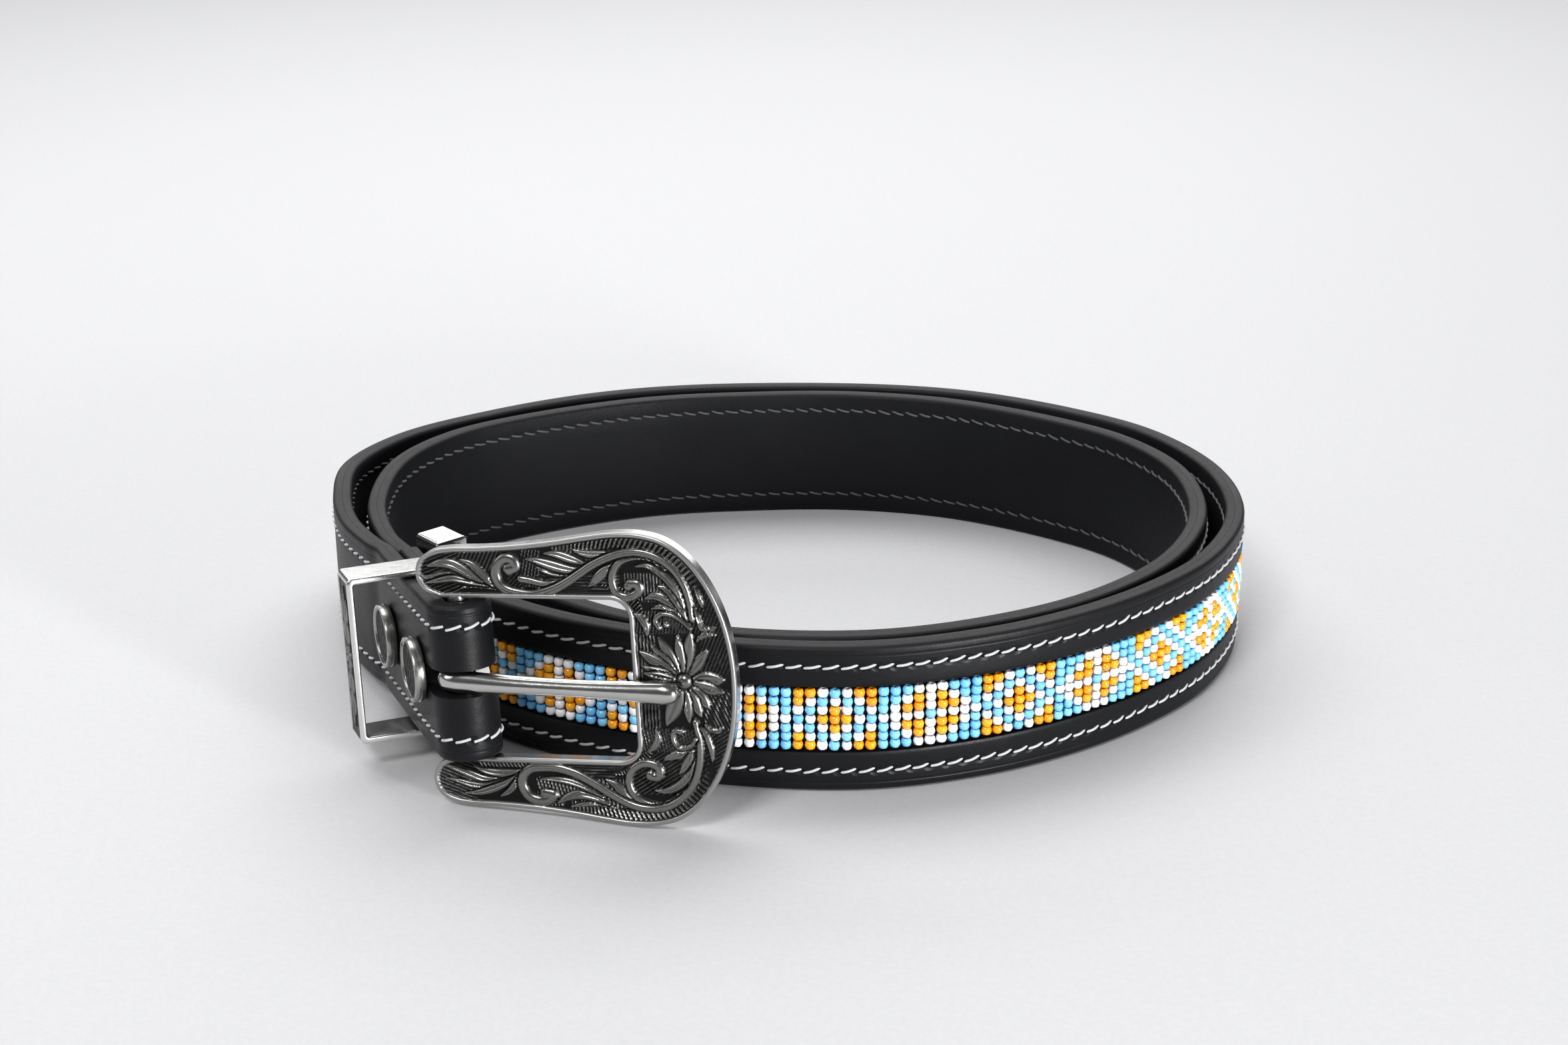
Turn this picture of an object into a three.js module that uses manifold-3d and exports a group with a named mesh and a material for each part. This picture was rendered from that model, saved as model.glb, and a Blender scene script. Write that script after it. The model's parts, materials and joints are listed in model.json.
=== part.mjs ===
// A leather belt with a beaded band, lying coiled in two turns on its lower edge.
// Millimetres, +Z up. The buckle's window faces -Y, the tip ends inside the coil.
import * as THREE from 'three';
import { mergeVertices } from 'three/addons/utils/BufferGeometryUtils.js';
import Module from 'manifold-3d';

const wasm = await Module();
wasm.setup();

// Strap: a face leather on a lining, with a band of beads let into the face
const STRAP_WIDTH = 30;
const LINING_THICKNESS = 1.8;
const FACE_THICKNESS = 1.9;
const GAP = 0.3;
const EDGE_ROUNDING = 0.45;
const STATION_STEP = 13;
const STRAP_THICKNESS = LINING_THICKNESS + GAP + FACE_THICKNESS;
const HALF_WIDTH = STRAP_WIDTH / 2;

// Bead band
const BEAD_ROWS = 7;
const BEAD_ROW_PITCH = 1.83;
const BAND_THICKNESS = 2.3;
const BAND_CHAMFER = 0.4;
const BAND_FROM_FOLD = 100;
const BAND_FROM_TIP = 250;
const BAND_HALF = BEAD_ROWS * BEAD_ROW_PITCH / 2;

// Prong holes in the plain end
const HOLE_COUNT = 7;
const HOLE_PITCH = 25;
const FIRST_HOLE_FROM_TIP = 75;
const HOLE_RADIUS = 2;
const HOLE_SIDES = 10;

// Coil: the outer face of the strap, as swept angle from the fold and radius in shares of COIL_RADIUS
const COIL_RADIUS = 100;
const FOLD_ANGLE = 237;
const OUTER_TURN = [
  [33, 0.926], [44, 0.948], [56, 0.974], [69, 1.010], [82, 0.987], [97, 0.911], [112, 0.858],
  [126, 0.820], [143, 0.793], [165, 0.820], [180, 0.866], [196, 0.918], [210, 0.974], [226, 1.001],
  [242, 0.992], [258, 0.950], [272, 0.900], [286, 0.860], [300, 0.832], [316, 0.810], [336, 0.785],
  [352, 0.779],
];
// Where the strap passes behind the fold and its screws: how far inside the bar's radius, in shares of
// FOLD_STACK
const BEHIND_FOLD = [[364, 2.258], [380, 1.969], [398, 1.526]];
// The inner turn: swept angle and the room left to the turn outside it, in shares of TURN_ROOM
const TURN_ROOM = 4;
const INNER_TURN = [
  [403, 0.74], [415, 0.85], [432, 1.20], [445, 0.95], [457, 0.80], [480, 0.90], [502, 0.72],
  [520, 0.72], [540, 0.90], [562, 1.05], [573, 0.95], [586, 0.95], [603, 0.93], [620, 0.55],
  [636, 0.22], [652, 0.20], [672, 0.18], [692, 0.18], [708, 0.25], [722, 0.55], [736, 1.00],
  [746, 1.10], [755.5, 0.75],
];

// Buckle end: the strap climbs to the bar, whose buckle stands on its rim
const BAR_ANGLE = 234.1;
const BAR_FROM_CENTRE = 1.011 * COIL_RADIUS;
const FOLD_HEADING_ANGLE = -68.3;
const CLIMB_LENGTH = 140;
const BUCKLE_SWING_ANGLE = 54.9;
const FOLD_BACK = 41;
const STRAIGHT_BEYOND = 4;
const FOLD_BACK_STEPS = 4;
const FOLD_STEPS = 10;
const SLOPE_REACH = 0.5;

// Buckle frame: its plane holds the bar, u runs from the bar to the flower, v along the bar
const FRAME_THICKNESS = 2.8;
const FRAME_REACH = 52.8;
const ARM_DEPTH = 12.6;
const ARM_CLEARANCE = 0.4;
const WINDOW_REACH = 33.3;
const WINDOW_CORNER = 3.5;
const BAR_RADIUS = 1.8;
const BAR_CLEARANCE = 0.3;
const RIM_WIDTH = 0.9;
const RECESS_DEPTH = 0.45;
const RELIEF_HEIGHT = 0.6;
const FRAME_BEVEL = 0.4;
const OUTLINE_STEPS = 60;
const WINDOW_CORNER_STEPS = 4;
const ROUND_SIDES = 18;
const ARM_INNER = HALF_WIDTH + ARM_CLEARANCE;
const FRAME_HALF = ARM_INNER + ARM_DEPTH;
const LOOP_INNER = BAR_RADIUS + BAR_CLEARANCE;

// Outer edge from arm end to flower: shares of FRAME_REACH along u, of FRAME_HALF along v
const OUTLINE = [
  [-0.098, 0.585], [-0.14, 0.72], [-0.125, 0.807], [-0.081, 0.865], [-0.019, 0.891], [0.095, 0.898],
  [0.227, 0.913], [0.379, 0.945], [0.492, 0.978], [0.587, 1.0], [0.682, 0.996], [0.767, 0.953],
  [0.843, 0.851], [0.909, 0.691], [0.958, 0.495], [0.989, 0.269],
];

// Relief strokes of the upper half: widest half-width as a share of STROKE_HALF, then points as shares
// of reach and half height
const STROKE_HALF = 1.1;
const SCROLLS = [
  [1, [-0.087, 0.778], [-0.019, 0.789], [0.047, 0.749], [0.106, 0.669]],
  [0.64, [-0.118, 0.715], [-0.05, 0.724], [0.04, 0.705], [0.152, 0.618]],
  [0.64, [-0.1, 0.658], [-0.04, 0.672], [0.02, 0.672], [0.07, 0.636]],
  [0.91, [0.03, 0.825], [0.078, 0.811], [0.121, 0.749], [0.15, 0.665], [0.168, 0.611]],
  [1, [0.208, 0.756], [0.233, 0.793], [0.223, 0.825], [0.186, 0.825], [0.161, 0.778], [0.165, 0.709],
    [0.193, 0.636], [0.237, 0.596], [0.295, 0.585], [0.354, 0.611], [0.413, 0.665], [0.464, 0.735]],
  [0.82, [0.44, 0.71], [0.521, 0.8], [0.58, 0.847], [0.646, 0.876], [0.705, 0.869], [0.761, 0.825],
    [0.805, 0.749], [0.835, 0.651], [0.852, 0.538], [0.858, 0.429]],
  [0.68, [0.252, 0.687], [0.295, 0.658], [0.354, 0.658], [0.413, 0.695], [0.455, 0.727]],
  [0.82, [0.278, 0.825], [0.326, 0.811], [0.383, 0.793], [0.434, 0.771]],
  [0.82, [0.339, 0.876], [0.39, 0.862], [0.441, 0.833], [0.475, 0.8]],
  [0.73, [0.477, 0.629], [0.508, 0.695], [0.551, 0.771], [0.6, 0.822]],
  [0.77, [0.642, 0.658], [0.667, 0.665], [0.678, 0.629], [0.659, 0.575], [0.627, 0.567], [0.595, 0.604],
    [0.58, 0.665], [0.583, 0.735], [0.61, 0.8], [0.653, 0.84], [0.71, 0.84], [0.761, 0.793], [0.801, 0.709]],
  [0.73, [0.667, 0.793], [0.718, 0.8], [0.769, 0.735], [0.805, 0.651], [0.828, 0.538]],
  [0.64, [0.748, 0.673], [0.784, 0.636], [0.812, 0.567], [0.839, 0.455]],
  [0.82, [0.697, 0.575], [0.741, 0.589], [0.784, 0.553], [0.812, 0.498]],
  [0.73, [0.705, 0.527], [0.754, 0.513], [0.805, 0.469], [0.843, 0.4]],
  [0.73, [0.65, 0.476], [0.678, 0.444], [0.693, 0.385], [0.693, 0.324]],
  [0.55, [0.875, 0.651], [0.89, 0.582], [0.9, 0.527]],
  [0.55, [0.867, 0.527], [0.879, 0.444], [0.896, 0.371], [0.93, 0.38]],
];
const STROKE_SAMPLES = 4;
const STROKE_STEP = 5;
const STROKE_END_SHARE = 0.35;
const STROKE_TAPER_SHARE = 0.25;

// Flower beyond the window
const FLOWER_AT = 0.801 * FRAME_REACH;
const FLOWER_RISE = 0.6;
const PETAL_COUNT = 10;
const PETAL_LENGTH = 8;
const PETAL_HALF = 1.25;
const FLOWER_HEART = 1.4;
const HEART_HEIGHT = 0.3;
const HEART_TOP_SHARE = 0.6;

// Prong
const PRONG_ROOT = 2.9;
const PRONG_ROOT_WIDTH = 4;
const PRONG_MID = 3.3;
const PRONG_TIP = 3.6;
const PRONG_DROOP_ANGLE = 1.8;
const PRONG_PAST_HEART = 0.5;
const PRONG_SIDES = 10;
const PRONG_LOOP_FROM = -35;
const PRONG_LOOP_TO = -270;
const PRONG_LOOP_STEPS = 10;
const PRONG_SEAT = FRAME_THICKNESS / 2 + HEART_HEIGHT + GAP + PRONG_MID / 2;

// Shank: share of its length, share of the way down to its seat, thickness and width as shares of
// PRONG_MID and PRONG_TIP
const PRONG_SHANK = [
  [0.08, 0, 0.92, 1.06], [0.18, 0.5, 1, 0.98], [0.45, 1, 1, 0.93], [0.78, 1, 1, 1.03],
  [0.9, 1, 1.06, 1.15], [0.97, 1, 1, 1.08], [1, 1, 0.5, 0.5],
];

// Studs that close the fold
const STUD_FROM_BAR = 9.2;
const STUD_FROM_END = 8;
const STUD_PLACES = [STUD_FROM_BAR, FOLD_BACK - STUD_FROM_END];
const STUD_RADIUS = 6.3;
const STUD_THICKNESS = 2.2;
const STUD_RIM = 0.9;
const STUD_DISH = 0.4;
const STUD_EDGE = 0.35;
const POST_RADIUS = 2.4;
const POST_BORE = 1.5;
const POST_CLEARANCE = 0.3;
const SCREW_RADIUS = 4.6;
const SCREW_THICKNESS = 1.1;
const SCREW_SHANK = 1.2;
const SCREW_SHORT = 0.9;
const SCREW_SLOT = 1;
const FOLD_CLOSES_AT = STUD_FROM_BAR - SCREW_RADIUS;
const FOLD_STACK = 2 * STRAP_THICKNESS + 2 * GAP + SCREW_THICKNESS;

// Slot in the fold for the prong
const SLOT_PLAY = 0.6;
const SLOT_HALF = PRONG_ROOT_WIDTH / 2 + SLOT_PLAY;
const SLOT_BACK = LOOP_INNER + PRONG_ROOT + SLOT_PLAY;
const SLOT_AHEAD = LOOP_INNER + 2 * STRAP_THICKNESS;

// Keeper between the two studs, its flower and leaves as shares of its width and half height
const KEEPER_AT = 18.5;
const KEEPER_WIDTH = 8.9;
const KEEPER_WALL = 1.3;
const KEEPER_REACH = 9.5;
const KEEPER_PLAY = 0.3;
const KEEPER_RELIEF = 0.35;
const KEEPER_EDGE = 0.4;
const KEEPER_LEAVES = [0.24, 0.46, 0.68];
const KEEPER_LEAF = { length: 0.34, half: 0.17, tilt: 20 };
const KEEPER_PETAL = { count: 8, length: 0.4, half: 0.11 };

// Tip cap
const TIP_LENGTH = 8;
const TIP_WALL = 1;
const TIP_CHEEK = 1.4;
const TIP_POCKET = 6;
const TIP_RISE_LENGTH = 70;
const TIP_BEVEL = 0.4;
const TIP_LIFT = TIP_WALL + GAP;

const rad = THREE.MathUtils.degToRad;

// Solids to and from the boolean library
function toSolid(geometry) {
  const plain = new THREE.BufferGeometry();
  plain.setAttribute('position', geometry.getAttribute('position').clone());
  if (geometry.index) plain.setIndex(geometry.index.clone());
  const merged = mergeVertices(plain, 1e-4);
  const index = merged.index.array;
  const kept = [];
  for (let i = 0; i < index.length; i += 3) {
    const [a, b, c] = [index[i], index[i + 1], index[i + 2]];
    if (a !== b && b !== c && c !== a) kept.push(a, b, c);
  }
  const mesh = new wasm.Mesh({
    numProp: 3,
    vertProperties: new Float32Array(merged.attributes.position.array),
    triVerts: new Uint32Array(kept),
  });
  const solid = new wasm.Manifold(mesh);
  if (solid.volume() >= 0) return solid;
  for (let i = 0; i < kept.length; i += 3) [kept[i], kept[i + 1]] = [kept[i + 1], kept[i]];
  mesh.triVerts = new Uint32Array(kept);
  return new wasm.Manifold(mesh);
}

function toGeometry(solid) {
  const mesh = solid.getMesh();
  const geometry = new THREE.BufferGeometry();
  geometry.setAttribute('position', new THREE.BufferAttribute(new Float32Array(mesh.vertProperties), 3));
  geometry.setIndex(new THREE.BufferAttribute(new Uint32Array(mesh.triVerts), 1));
  geometry.computeVertexNormals();
  return geometry;
}

// A closed body through stations, each with its own ring of points
function loft(rings) {
  const sides = rings[0].length;
  const positions = rings.flatMap((ring) => ring.flatMap((p) => [p.x, p.y, p.z]));
  const index = [];
  for (let i = 0; i + 1 < rings.length; i += 1) {
    for (let j = 0; j < sides; j += 1) {
      const a = i * sides + j;
      const b = i * sides + (j + 1) % sides;
      index.push(a, b, b + sides, a, b + sides, a + sides);
    }
  }
  const last = (rings.length - 1) * sides;
  for (let j = 1; j + 1 < sides; j += 1) {
    index.push(0, j + 1, j, last, last + j, last + j + 1);
  }
  const geometry = new THREE.BufferGeometry();
  geometry.setAttribute('position', new THREE.Float32BufferAttribute(positions, 3));
  geometry.setIndex(index);
  return geometry;
}

// A rectangle with cut corners, as points across the thickness (n) and the width (w)
function cutRectangle(n0, n1, w0, w1, cut) {
  return [
    [n0 + cut, w0], [n1 - cut, w0], [n1, w0 + cut], [n1, w1 - cut],
    [n1 - cut, w1], [n0 + cut, w1], [n0, w1 - cut], [n0, w0 + cut],
  ];
}

function sweep(stations, section) {
  return loft(stations.map((at) => section.map(([n, w]) => at.point.clone()
    .addScaledVector(at.out, n).addScaledVector(at.up, w))));
}

// Height of the bar: the buckle's rim stands on the table
function barAxes(slope) {
  const heading = rad(FOLD_HEADING_ANGLE);
  const ahead = new THREE.Vector3(Math.cos(heading), Math.sin(heading), slope).normalize();
  const up = new THREE.Vector3(0, 0, 1).addScaledVector(ahead, -ahead.z).normalize();
  const side = new THREE.Vector3().crossVectors(up, ahead);
  const swing = rad(BUCKLE_SWING_ANGLE);
  const u = ahead.clone().multiplyScalar(Math.cos(swing)).addScaledVector(side, Math.sin(swing));
  return { ahead, up, side, u, out: new THREE.Vector3().crossVectors(u, up) };
}

function barHeight(slope) {
  const axes = barAxes(slope);
  const drops = frameOutline().map(([u, v]) => (
    Math.abs(axes.out.z) * FRAME_THICKNESS / 2 - u * axes.u.z - v * axes.up.z));
  return Math.max(...drops);
}

// Closed outline of the frame, smooth along its outer edge
function frameOutline() {
  const upper = OUTLINE.map(([u, v]) => [u * FRAME_REACH, v * FRAME_HALF]);
  upper[0][1] = ARM_INNER;
  const lower = upper.map(([u, v]) => [u, -v]).reverse();
  const through = [...upper, [FRAME_REACH, 0], ...lower].map(([u, v]) => new THREE.Vector3(u, v, 0));
  const outer = new THREE.CatmullRomCurve3(through).getPoints(OUTLINE_STEPS).map((p) => [p.x, p.y]);
  const corner = [];
  for (let k = 0; k <= WINDOW_CORNER_STEPS; k += 1) {
    const turn = rad(90 * k / WINDOW_CORNER_STEPS);
    corner.push([
      WINDOW_REACH - WINDOW_CORNER * (1 - Math.cos(turn)),
      ARM_INNER - WINDOW_CORNER * (1 - Math.sin(turn)),
    ]);
  }
  return [...outer, ...corner.slice().reverse().map(([u, v]) => [u, -v]), ...corner];
}

function inset(outline, distance) {
  return outline.map(([u, v], i) => {
    const [u0, v0] = outline[(i + outline.length - 1) % outline.length];
    const [u1, v1] = outline[(i + 1) % outline.length];
    const before = new THREE.Vector2(u - u0, v - v0).normalize();
    const after = new THREE.Vector2(u1 - u, v1 - v).normalize();
    const normal = new THREE.Vector2(-before.y - after.y, before.x + after.x).normalize();
    const spread = Math.max(0.5, normal.x * -after.y + normal.y * after.x);
    return [u - normal.x * distance / spread, v - normal.y * distance / spread];
  });
}

// The strap's outer face in plan, from the fold to the tip
function lookUp(table, angle) {
  const found = table.findIndex(([a]) => a >= angle);
  const k = Math.max(found < 0 ? table.length - 1 : found, 1);
  const [a0, r0] = table[k - 1];
  const [a1, r1] = table[k];
  return r0 + (r1 - r0) * (angle - a0) / (a1 - a0);
}

const OUTER_RADII = [
  ...OUTER_TURN.map(([angle, share]) => [angle, COIL_RADIUS * share]),
  ...BEHIND_FOLD.map(([angle, share]) => [angle, BAR_FROM_CENTRE - FOLD_STACK * share]),
];

function coilRadius(angle) {
  if (angle <= OUTER_RADII.at(-1)[0]) return lookUp(OUTER_RADII, angle);
  return coilRadius(angle - 360) - STRAP_THICKNESS - TURN_ROOM * lookUp(INNER_TURN, angle);
}

function planCurve(bar, axes) {
  const start = bar.clone().addScaledVector(axes.side, -(LOOP_INNER + STRAP_THICKNESS));
  const points = [0, FOLD_BACK / 2, FOLD_BACK, FOLD_BACK + STRAIGHT_BEYOND].map((s) => (
    start.clone().addScaledVector(axes.ahead, -s)));
  [...OUTER_RADII, ...INNER_TURN].forEach(([angle]) => {
    const turn = rad(FOLD_ANGLE - angle);
    const radius = coilRadius(angle);
    points.push(new THREE.Vector3(radius * Math.cos(turn), radius * Math.sin(turn), 0));
  });
  points.forEach((p) => { p.z = 0; });
  return new THREE.CatmullRomCurve3(points, false, 'centripetal');
}

// Stations along the strap: fold-back, loop round the bar, two turns, tip
function strapStations() {
  let slope = 0.15;
  for (let k = 0; k < 12; k += 1) slope = 2 * (barHeight(slope) - HALF_WIDTH) / CLIMB_LENGTH;
  const axes = barAxes(slope);
  const turn = rad(BAR_ANGLE);
  const bar = new THREE.Vector3(BAR_FROM_CENTRE * Math.cos(turn), BAR_FROM_CENTRE * Math.sin(turn),
    barHeight(slope));
  const lift = bar.z - HALF_WIDTH;
  const curve = planCurve(bar, axes);
  curve.arcLengthDivisions = 1600;
  const length = curve.getLength();
  const height = (s) => HALF_WIDTH + lift * Math.max(0, 1 - s / CLIMB_LENGTH) ** 2
    + TIP_LIFT * THREE.MathUtils.smoothstep(s, length - TIP_RISE_LENGTH, length - TIP_POCKET);
  const at = (s) => {
    const share = Math.min(1, s / length);
    const point = curve.getPointAt(share);
    const along = curve.getTangentAt(share).normalize();
    along.z = (height(s + SLOPE_REACH) - height(s - SLOPE_REACH)) / (2 * SLOPE_REACH);
    if (s < SLOPE_REACH) along.z = -slope;
    along.normalize();
    point.z = height(s);
    const up = new THREE.Vector3(0, 0, 1).addScaledVector(along, -along.z).normalize();
    return { s, point, along, up, out: new THREE.Vector3().crossVectors(up, along) };
  };
  const main = [0, 1 / 3, 2 / 3].map((share) => at(share * FOLD_BACK));
  const rest = length - FOLD_BACK;
  const count = Math.round(rest / STATION_STEP);
  for (let k = 0; k <= count; k += 1) main.push(at(FOLD_BACK + rest * k / count));
  const backPlaces = [];
  for (let k = 0; k < FOLD_BACK_STEPS; k += 1) {
    backPlaces.push(FOLD_BACK + (FOLD_CLOSES_AT - FOLD_BACK) * k / FOLD_BACK_STEPS);
  }
  for (let k = FOLD_BACK_STEPS; k > 0; k -= 1) backPlaces.push(FOLD_CLOSES_AT * k / FOLD_BACK_STEPS);
  const back = backPlaces.map((s) => {
    const over = at(s);
    const ease = 1 - THREE.MathUtils.smoothstep(s, 0, FOLD_CLOSES_AT);
    const depth = 2 * STRAP_THICKNESS + GAP + (2 * LOOP_INNER - GAP) * ease;
    const point = over.point.clone().addScaledVector(over.out, -depth);
    return { s: -s, point, up: over.up, out: over.out.clone().negate() };
  });
  const loop = [];
  const reach = LOOP_INNER + STRAP_THICKNESS;
  for (let k = 0; k < FOLD_STEPS; k += 1) {
    const angle = Math.PI * (0.5 - k / FOLD_STEPS);
    const out = axes.ahead.clone().multiplyScalar(Math.cos(angle))
      .addScaledVector(axes.side, Math.sin(angle));
    loop.push({ s: 0, point: bar.clone().addScaledVector(out, reach), up: axes.up, out });
  }
  return { bar, axes, length, at, main, all: [...back, ...loop, ...main] };
}

const strap = strapStations();

// Local frames: x out of the strap, y across it, z along it away from the buckle
function placedOnStrap(s) {
  const { point, out, up, along } = strap.at(s);
  return new THREE.Matrix4().makeBasis(out, up, along).setPosition(point);
}

function place(group, matrix) {
  matrix.decompose(group.position, group.quaternion, group.scale);
  return group;
}

function moved(geometry, matrix) {
  return toSolid(geometry.clone().applyMatrix4(matrix));
}

// Round cutter through the strap at a distance from the fold
function holeCutter(s, radius) {
  const depth = 4 * STRAP_THICKNESS;
  const pin = new THREE.CylinderGeometry(radius, radius, 2 * depth, HOLE_SIDES);
  pin.rotateZ(Math.PI / 2);
  return moved(pin, placedOnStrap(s));
}

function prongHoles() {
  return Array.from({ length: HOLE_COUNT }, (_, k) => (
    holeCutter(strap.length - FIRST_HOLE_FROM_TIP - k * HOLE_PITCH, HOLE_RADIUS)));
}

function foldSlot() {
  const box = new THREE.BoxGeometry(SLOT_BACK + SLOT_AHEAD, 2 * SLOT_HALF, 4 * STRAP_THICKNESS);
  box.translate((SLOT_AHEAD - SLOT_BACK) / 2, 0, 0);
  const across = new THREE.Vector3().crossVectors(strap.axes.ahead, strap.axes.up);
  return moved(box, new THREE.Matrix4().makeBasis(strap.axes.ahead, strap.axes.up, across)
    .setPosition(strap.bar));
}

function strapCuts() {
  const studHoles = STUD_PLACES.map((s) => holeCutter(s, POST_RADIUS + POST_CLEARANCE));
  return wasm.Manifold.union([foldSlot(), ...studHoles, ...prongHoles()]);
}

function bandStations() {
  return strap.main.filter(({ s }) => s > BAND_FROM_FOLD && s < strap.length - BAND_FROM_TIP);
}

const cuts = strapCuts();

// A ply with its outward edges rounded off: inner side, outer side
function plySection(inner, outer) {
  const cut = Math.sign(outer - inner) * EDGE_ROUNDING;
  const side = HALF_WIDTH - EDGE_ROUNDING;
  const points = [
    [inner, -HALF_WIDTH], [outer - cut, -HALF_WIDTH], [outer, -side],
    [outer, side], [outer - cut, HALF_WIDTH], [inner, HALF_WIDTH],
  ];
  return outer > inner ? points : points.reverse();
}

function strapLining() {
  const section = plySection(LINING_THICKNESS - STRAP_THICKNESS, -STRAP_THICKNESS);
  return toGeometry(toSolid(sweep(strap.all, section)).subtract(cuts));
}

function strapFace() {
  const section = plySection(-FACE_THICKNESS, 0);
  const half = BAND_HALF + GAP;
  const under = -FACE_THICKNESS - GAP / 2;
  const window = [[under, -half], [BAND_THICKNESS, -half], [BAND_THICKNESS, half], [under, half]];
  const slot = toSolid(sweep(bandStations(), window));
  return toGeometry(toSolid(sweep(strap.all, section)).subtract(slot).subtract(cuts));
}

function beadBand() {
  const base = -FACE_THICKNESS;
  const section = cutRectangle(base, base + BAND_THICKNESS, -BAND_HALF, BAND_HALF, BAND_CHAMFER);
  const stations = bandStations();
  const inner = stations.map((at, k) => {
    if (k !== 0 && k !== stations.length - 1) return at;
    const inward = k === 0 ? GAP : -GAP;
    return { ...at, point: at.point.clone().addScaledVector(at.along, inward) };
  });
  return sweep(inner, section);
}

// Relief
function stroke([widest, ...shares]) {
  const points = shares.map(([u, v]) => new THREE.Vector3(u * FRAME_REACH, v * FRAME_HALF, 0));
  const curve = new THREE.CatmullRomCurve3(points, false, 'centripetal');
  const count = STROKE_SAMPLES + Math.round(curve.getLength() / STROKE_STEP);
  const left = [];
  const right = [];
  for (let k = 0; k <= count; k += 1) {
    const share = k / count;
    const point = curve.getPointAt(share);
    const along = curve.getTangentAt(share);
    const swell = Math.sqrt(Math.sin(Math.PI * (0.06 + 0.88 * share)));
    const body = STROKE_END_SHARE + (1 - STROKE_END_SHARE) * swell;
    const half = widest * STROKE_HALF * body * (1 - STROKE_TAPER_SHARE * share);
    left.push(new THREE.Vector2(point.x - along.y * half, point.y + along.x * half));
    right.push(new THREE.Vector2(point.x + along.y * half, point.y - along.x * half));
  }
  return [...left, ...right.reverse()];
}

function raised(points, base, height) {
  const geometry = new THREE.ExtrudeGeometry(new THREE.Shape(points), { depth: height, bevelEnabled: false });
  geometry.translate(0, 0, base);
  return toSolid(geometry);
}

function petal(length, half, turn, centre = [0, 0]) {
  const outline = [[0.12, 0.35], [0.45, 0.95], [0.7, 1], [0.88, 0.7], [1, 0]];
  const mirrored = outline.slice(0, -1).reverse().map(([a, b]) => [a, -b]);
  const spin = new THREE.Vector2(Math.cos(turn), Math.sin(turn));
  return [...outline, ...mirrored].map(([a, b]) => new THREE.Vector2(
    centre[0] + a * length * spin.x - b * half * spin.y,
    centre[1] + a * length * spin.y + b * half * spin.x,
  ));
}

function flower(count, length, half, centre) {
  return Array.from({ length: count }, (_, k) => (
    petal(length, half, (k + 0.5) * 2 * Math.PI / count, centre)));
}

function buckleFrame() {
  const outline = frameOutline();
  const front = FRAME_THICKNESS / 2;
  const points = (list) => list.map(([u, v]) => new THREE.Vector2(u, v));
  const body = new THREE.ExtrudeGeometry(new THREE.Shape(points(inset(outline, FRAME_BEVEL))), {
    depth: FRAME_THICKNESS - 2 * FRAME_BEVEL,
    bevelThickness: FRAME_BEVEL,
    bevelSize: FRAME_BEVEL,
    bevelSegments: 1,
  });
  body.translate(0, 0, FRAME_BEVEL - front);
  const floor = front - RECESS_DEPTH;
  const field = raised(points(inset(outline, RIM_WIDTH)), floor, 2 * RELIEF_HEIGHT);
  const strokes = SCROLLS.flatMap((row) => {
    const upper = stroke(row);
    const lower = upper.map((p) => new THREE.Vector2(p.x, -p.y)).reverse();
    return [upper, lower];
  });
  const centre = [FLOWER_AT, FLOWER_RISE];
  const petals = flower(PETAL_COUNT, PETAL_LENGTH, PETAL_HALF, centre);
  const heartTop = FLOWER_HEART * HEART_TOP_SHARE;
  const heart = new THREE.CylinderGeometry(heartTop, FLOWER_HEART, HEART_HEIGHT + RECESS_DEPTH, ROUND_SIDES);
  heart.rotateX(Math.PI / 2);
  heart.translate(...centre, front + (HEART_HEIGHT - RECESS_DEPTH) / 2);
  const relief = wasm.Manifold.union(
    [...strokes, ...petals].map((shape) => raised(shape, floor - GAP, GAP + RELIEF_HEIGHT)),
  ).intersect(raised(points(inset(outline, RIM_WIDTH)), floor - 2 * GAP, 2 * RELIEF_HEIGHT + 2 * GAP));
  const barLength = 2 * ARM_INNER + RIM_WIDTH;
  const bar = new THREE.CylinderGeometry(BAR_RADIUS, BAR_RADIUS, barLength, ROUND_SIDES);
  return toGeometry(toSolid(body).add(toSolid(bar)).subtract(field).add(relief).add(toSolid(heart)));
}

// The prong: a loop round the bar and a shank that rests on the frame beside the flower
function buckleProng() {
  const ringRadius = LOOP_INNER + PRONG_ROOT / 2;
  const length = FLOWER_AT + PRONG_PAST_HEART;
  const stations = [];
  for (let k = 0; k <= PRONG_LOOP_STEPS; k += 1) {
    const turn = rad(PRONG_LOOP_FROM + (PRONG_LOOP_TO - PRONG_LOOP_FROM) * k / PRONG_LOOP_STEPS);
    stations.push([ringRadius * Math.cos(turn), ringRadius * Math.sin(turn), PRONG_ROOT, PRONG_ROOT_WIDTH]);
  }
  PRONG_SHANK.forEach(([along, sunk, thick, wide]) => stations.push([
    along * length, ringRadius + sunk * (PRONG_SEAT - ringRadius), thick * PRONG_MID, wide * PRONG_TIP,
  ]));
  const rings = stations.map(([x, z, thick, wide], k) => {
    const before = stations[Math.max(0, k - 1)];
    const after = stations[Math.min(stations.length - 1, k + 1)];
    const along = new THREE.Vector2(after[0] - before[0], after[1] - before[1]).normalize();
    return Array.from({ length: PRONG_SIDES }, (_, j) => {
      const turn = 2 * Math.PI * j / PRONG_SIDES;
      const off = Math.cos(turn) * thick / 2;
      return new THREE.Vector3(x - along.y * off, Math.sin(turn) * wide / 2, z + along.x * off);
    });
  });
  const geometry = loft(rings);
  geometry.rotateZ(-rad(PRONG_DROOP_ANGLE));
  return toGeometry(toSolid(geometry));
}

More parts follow.
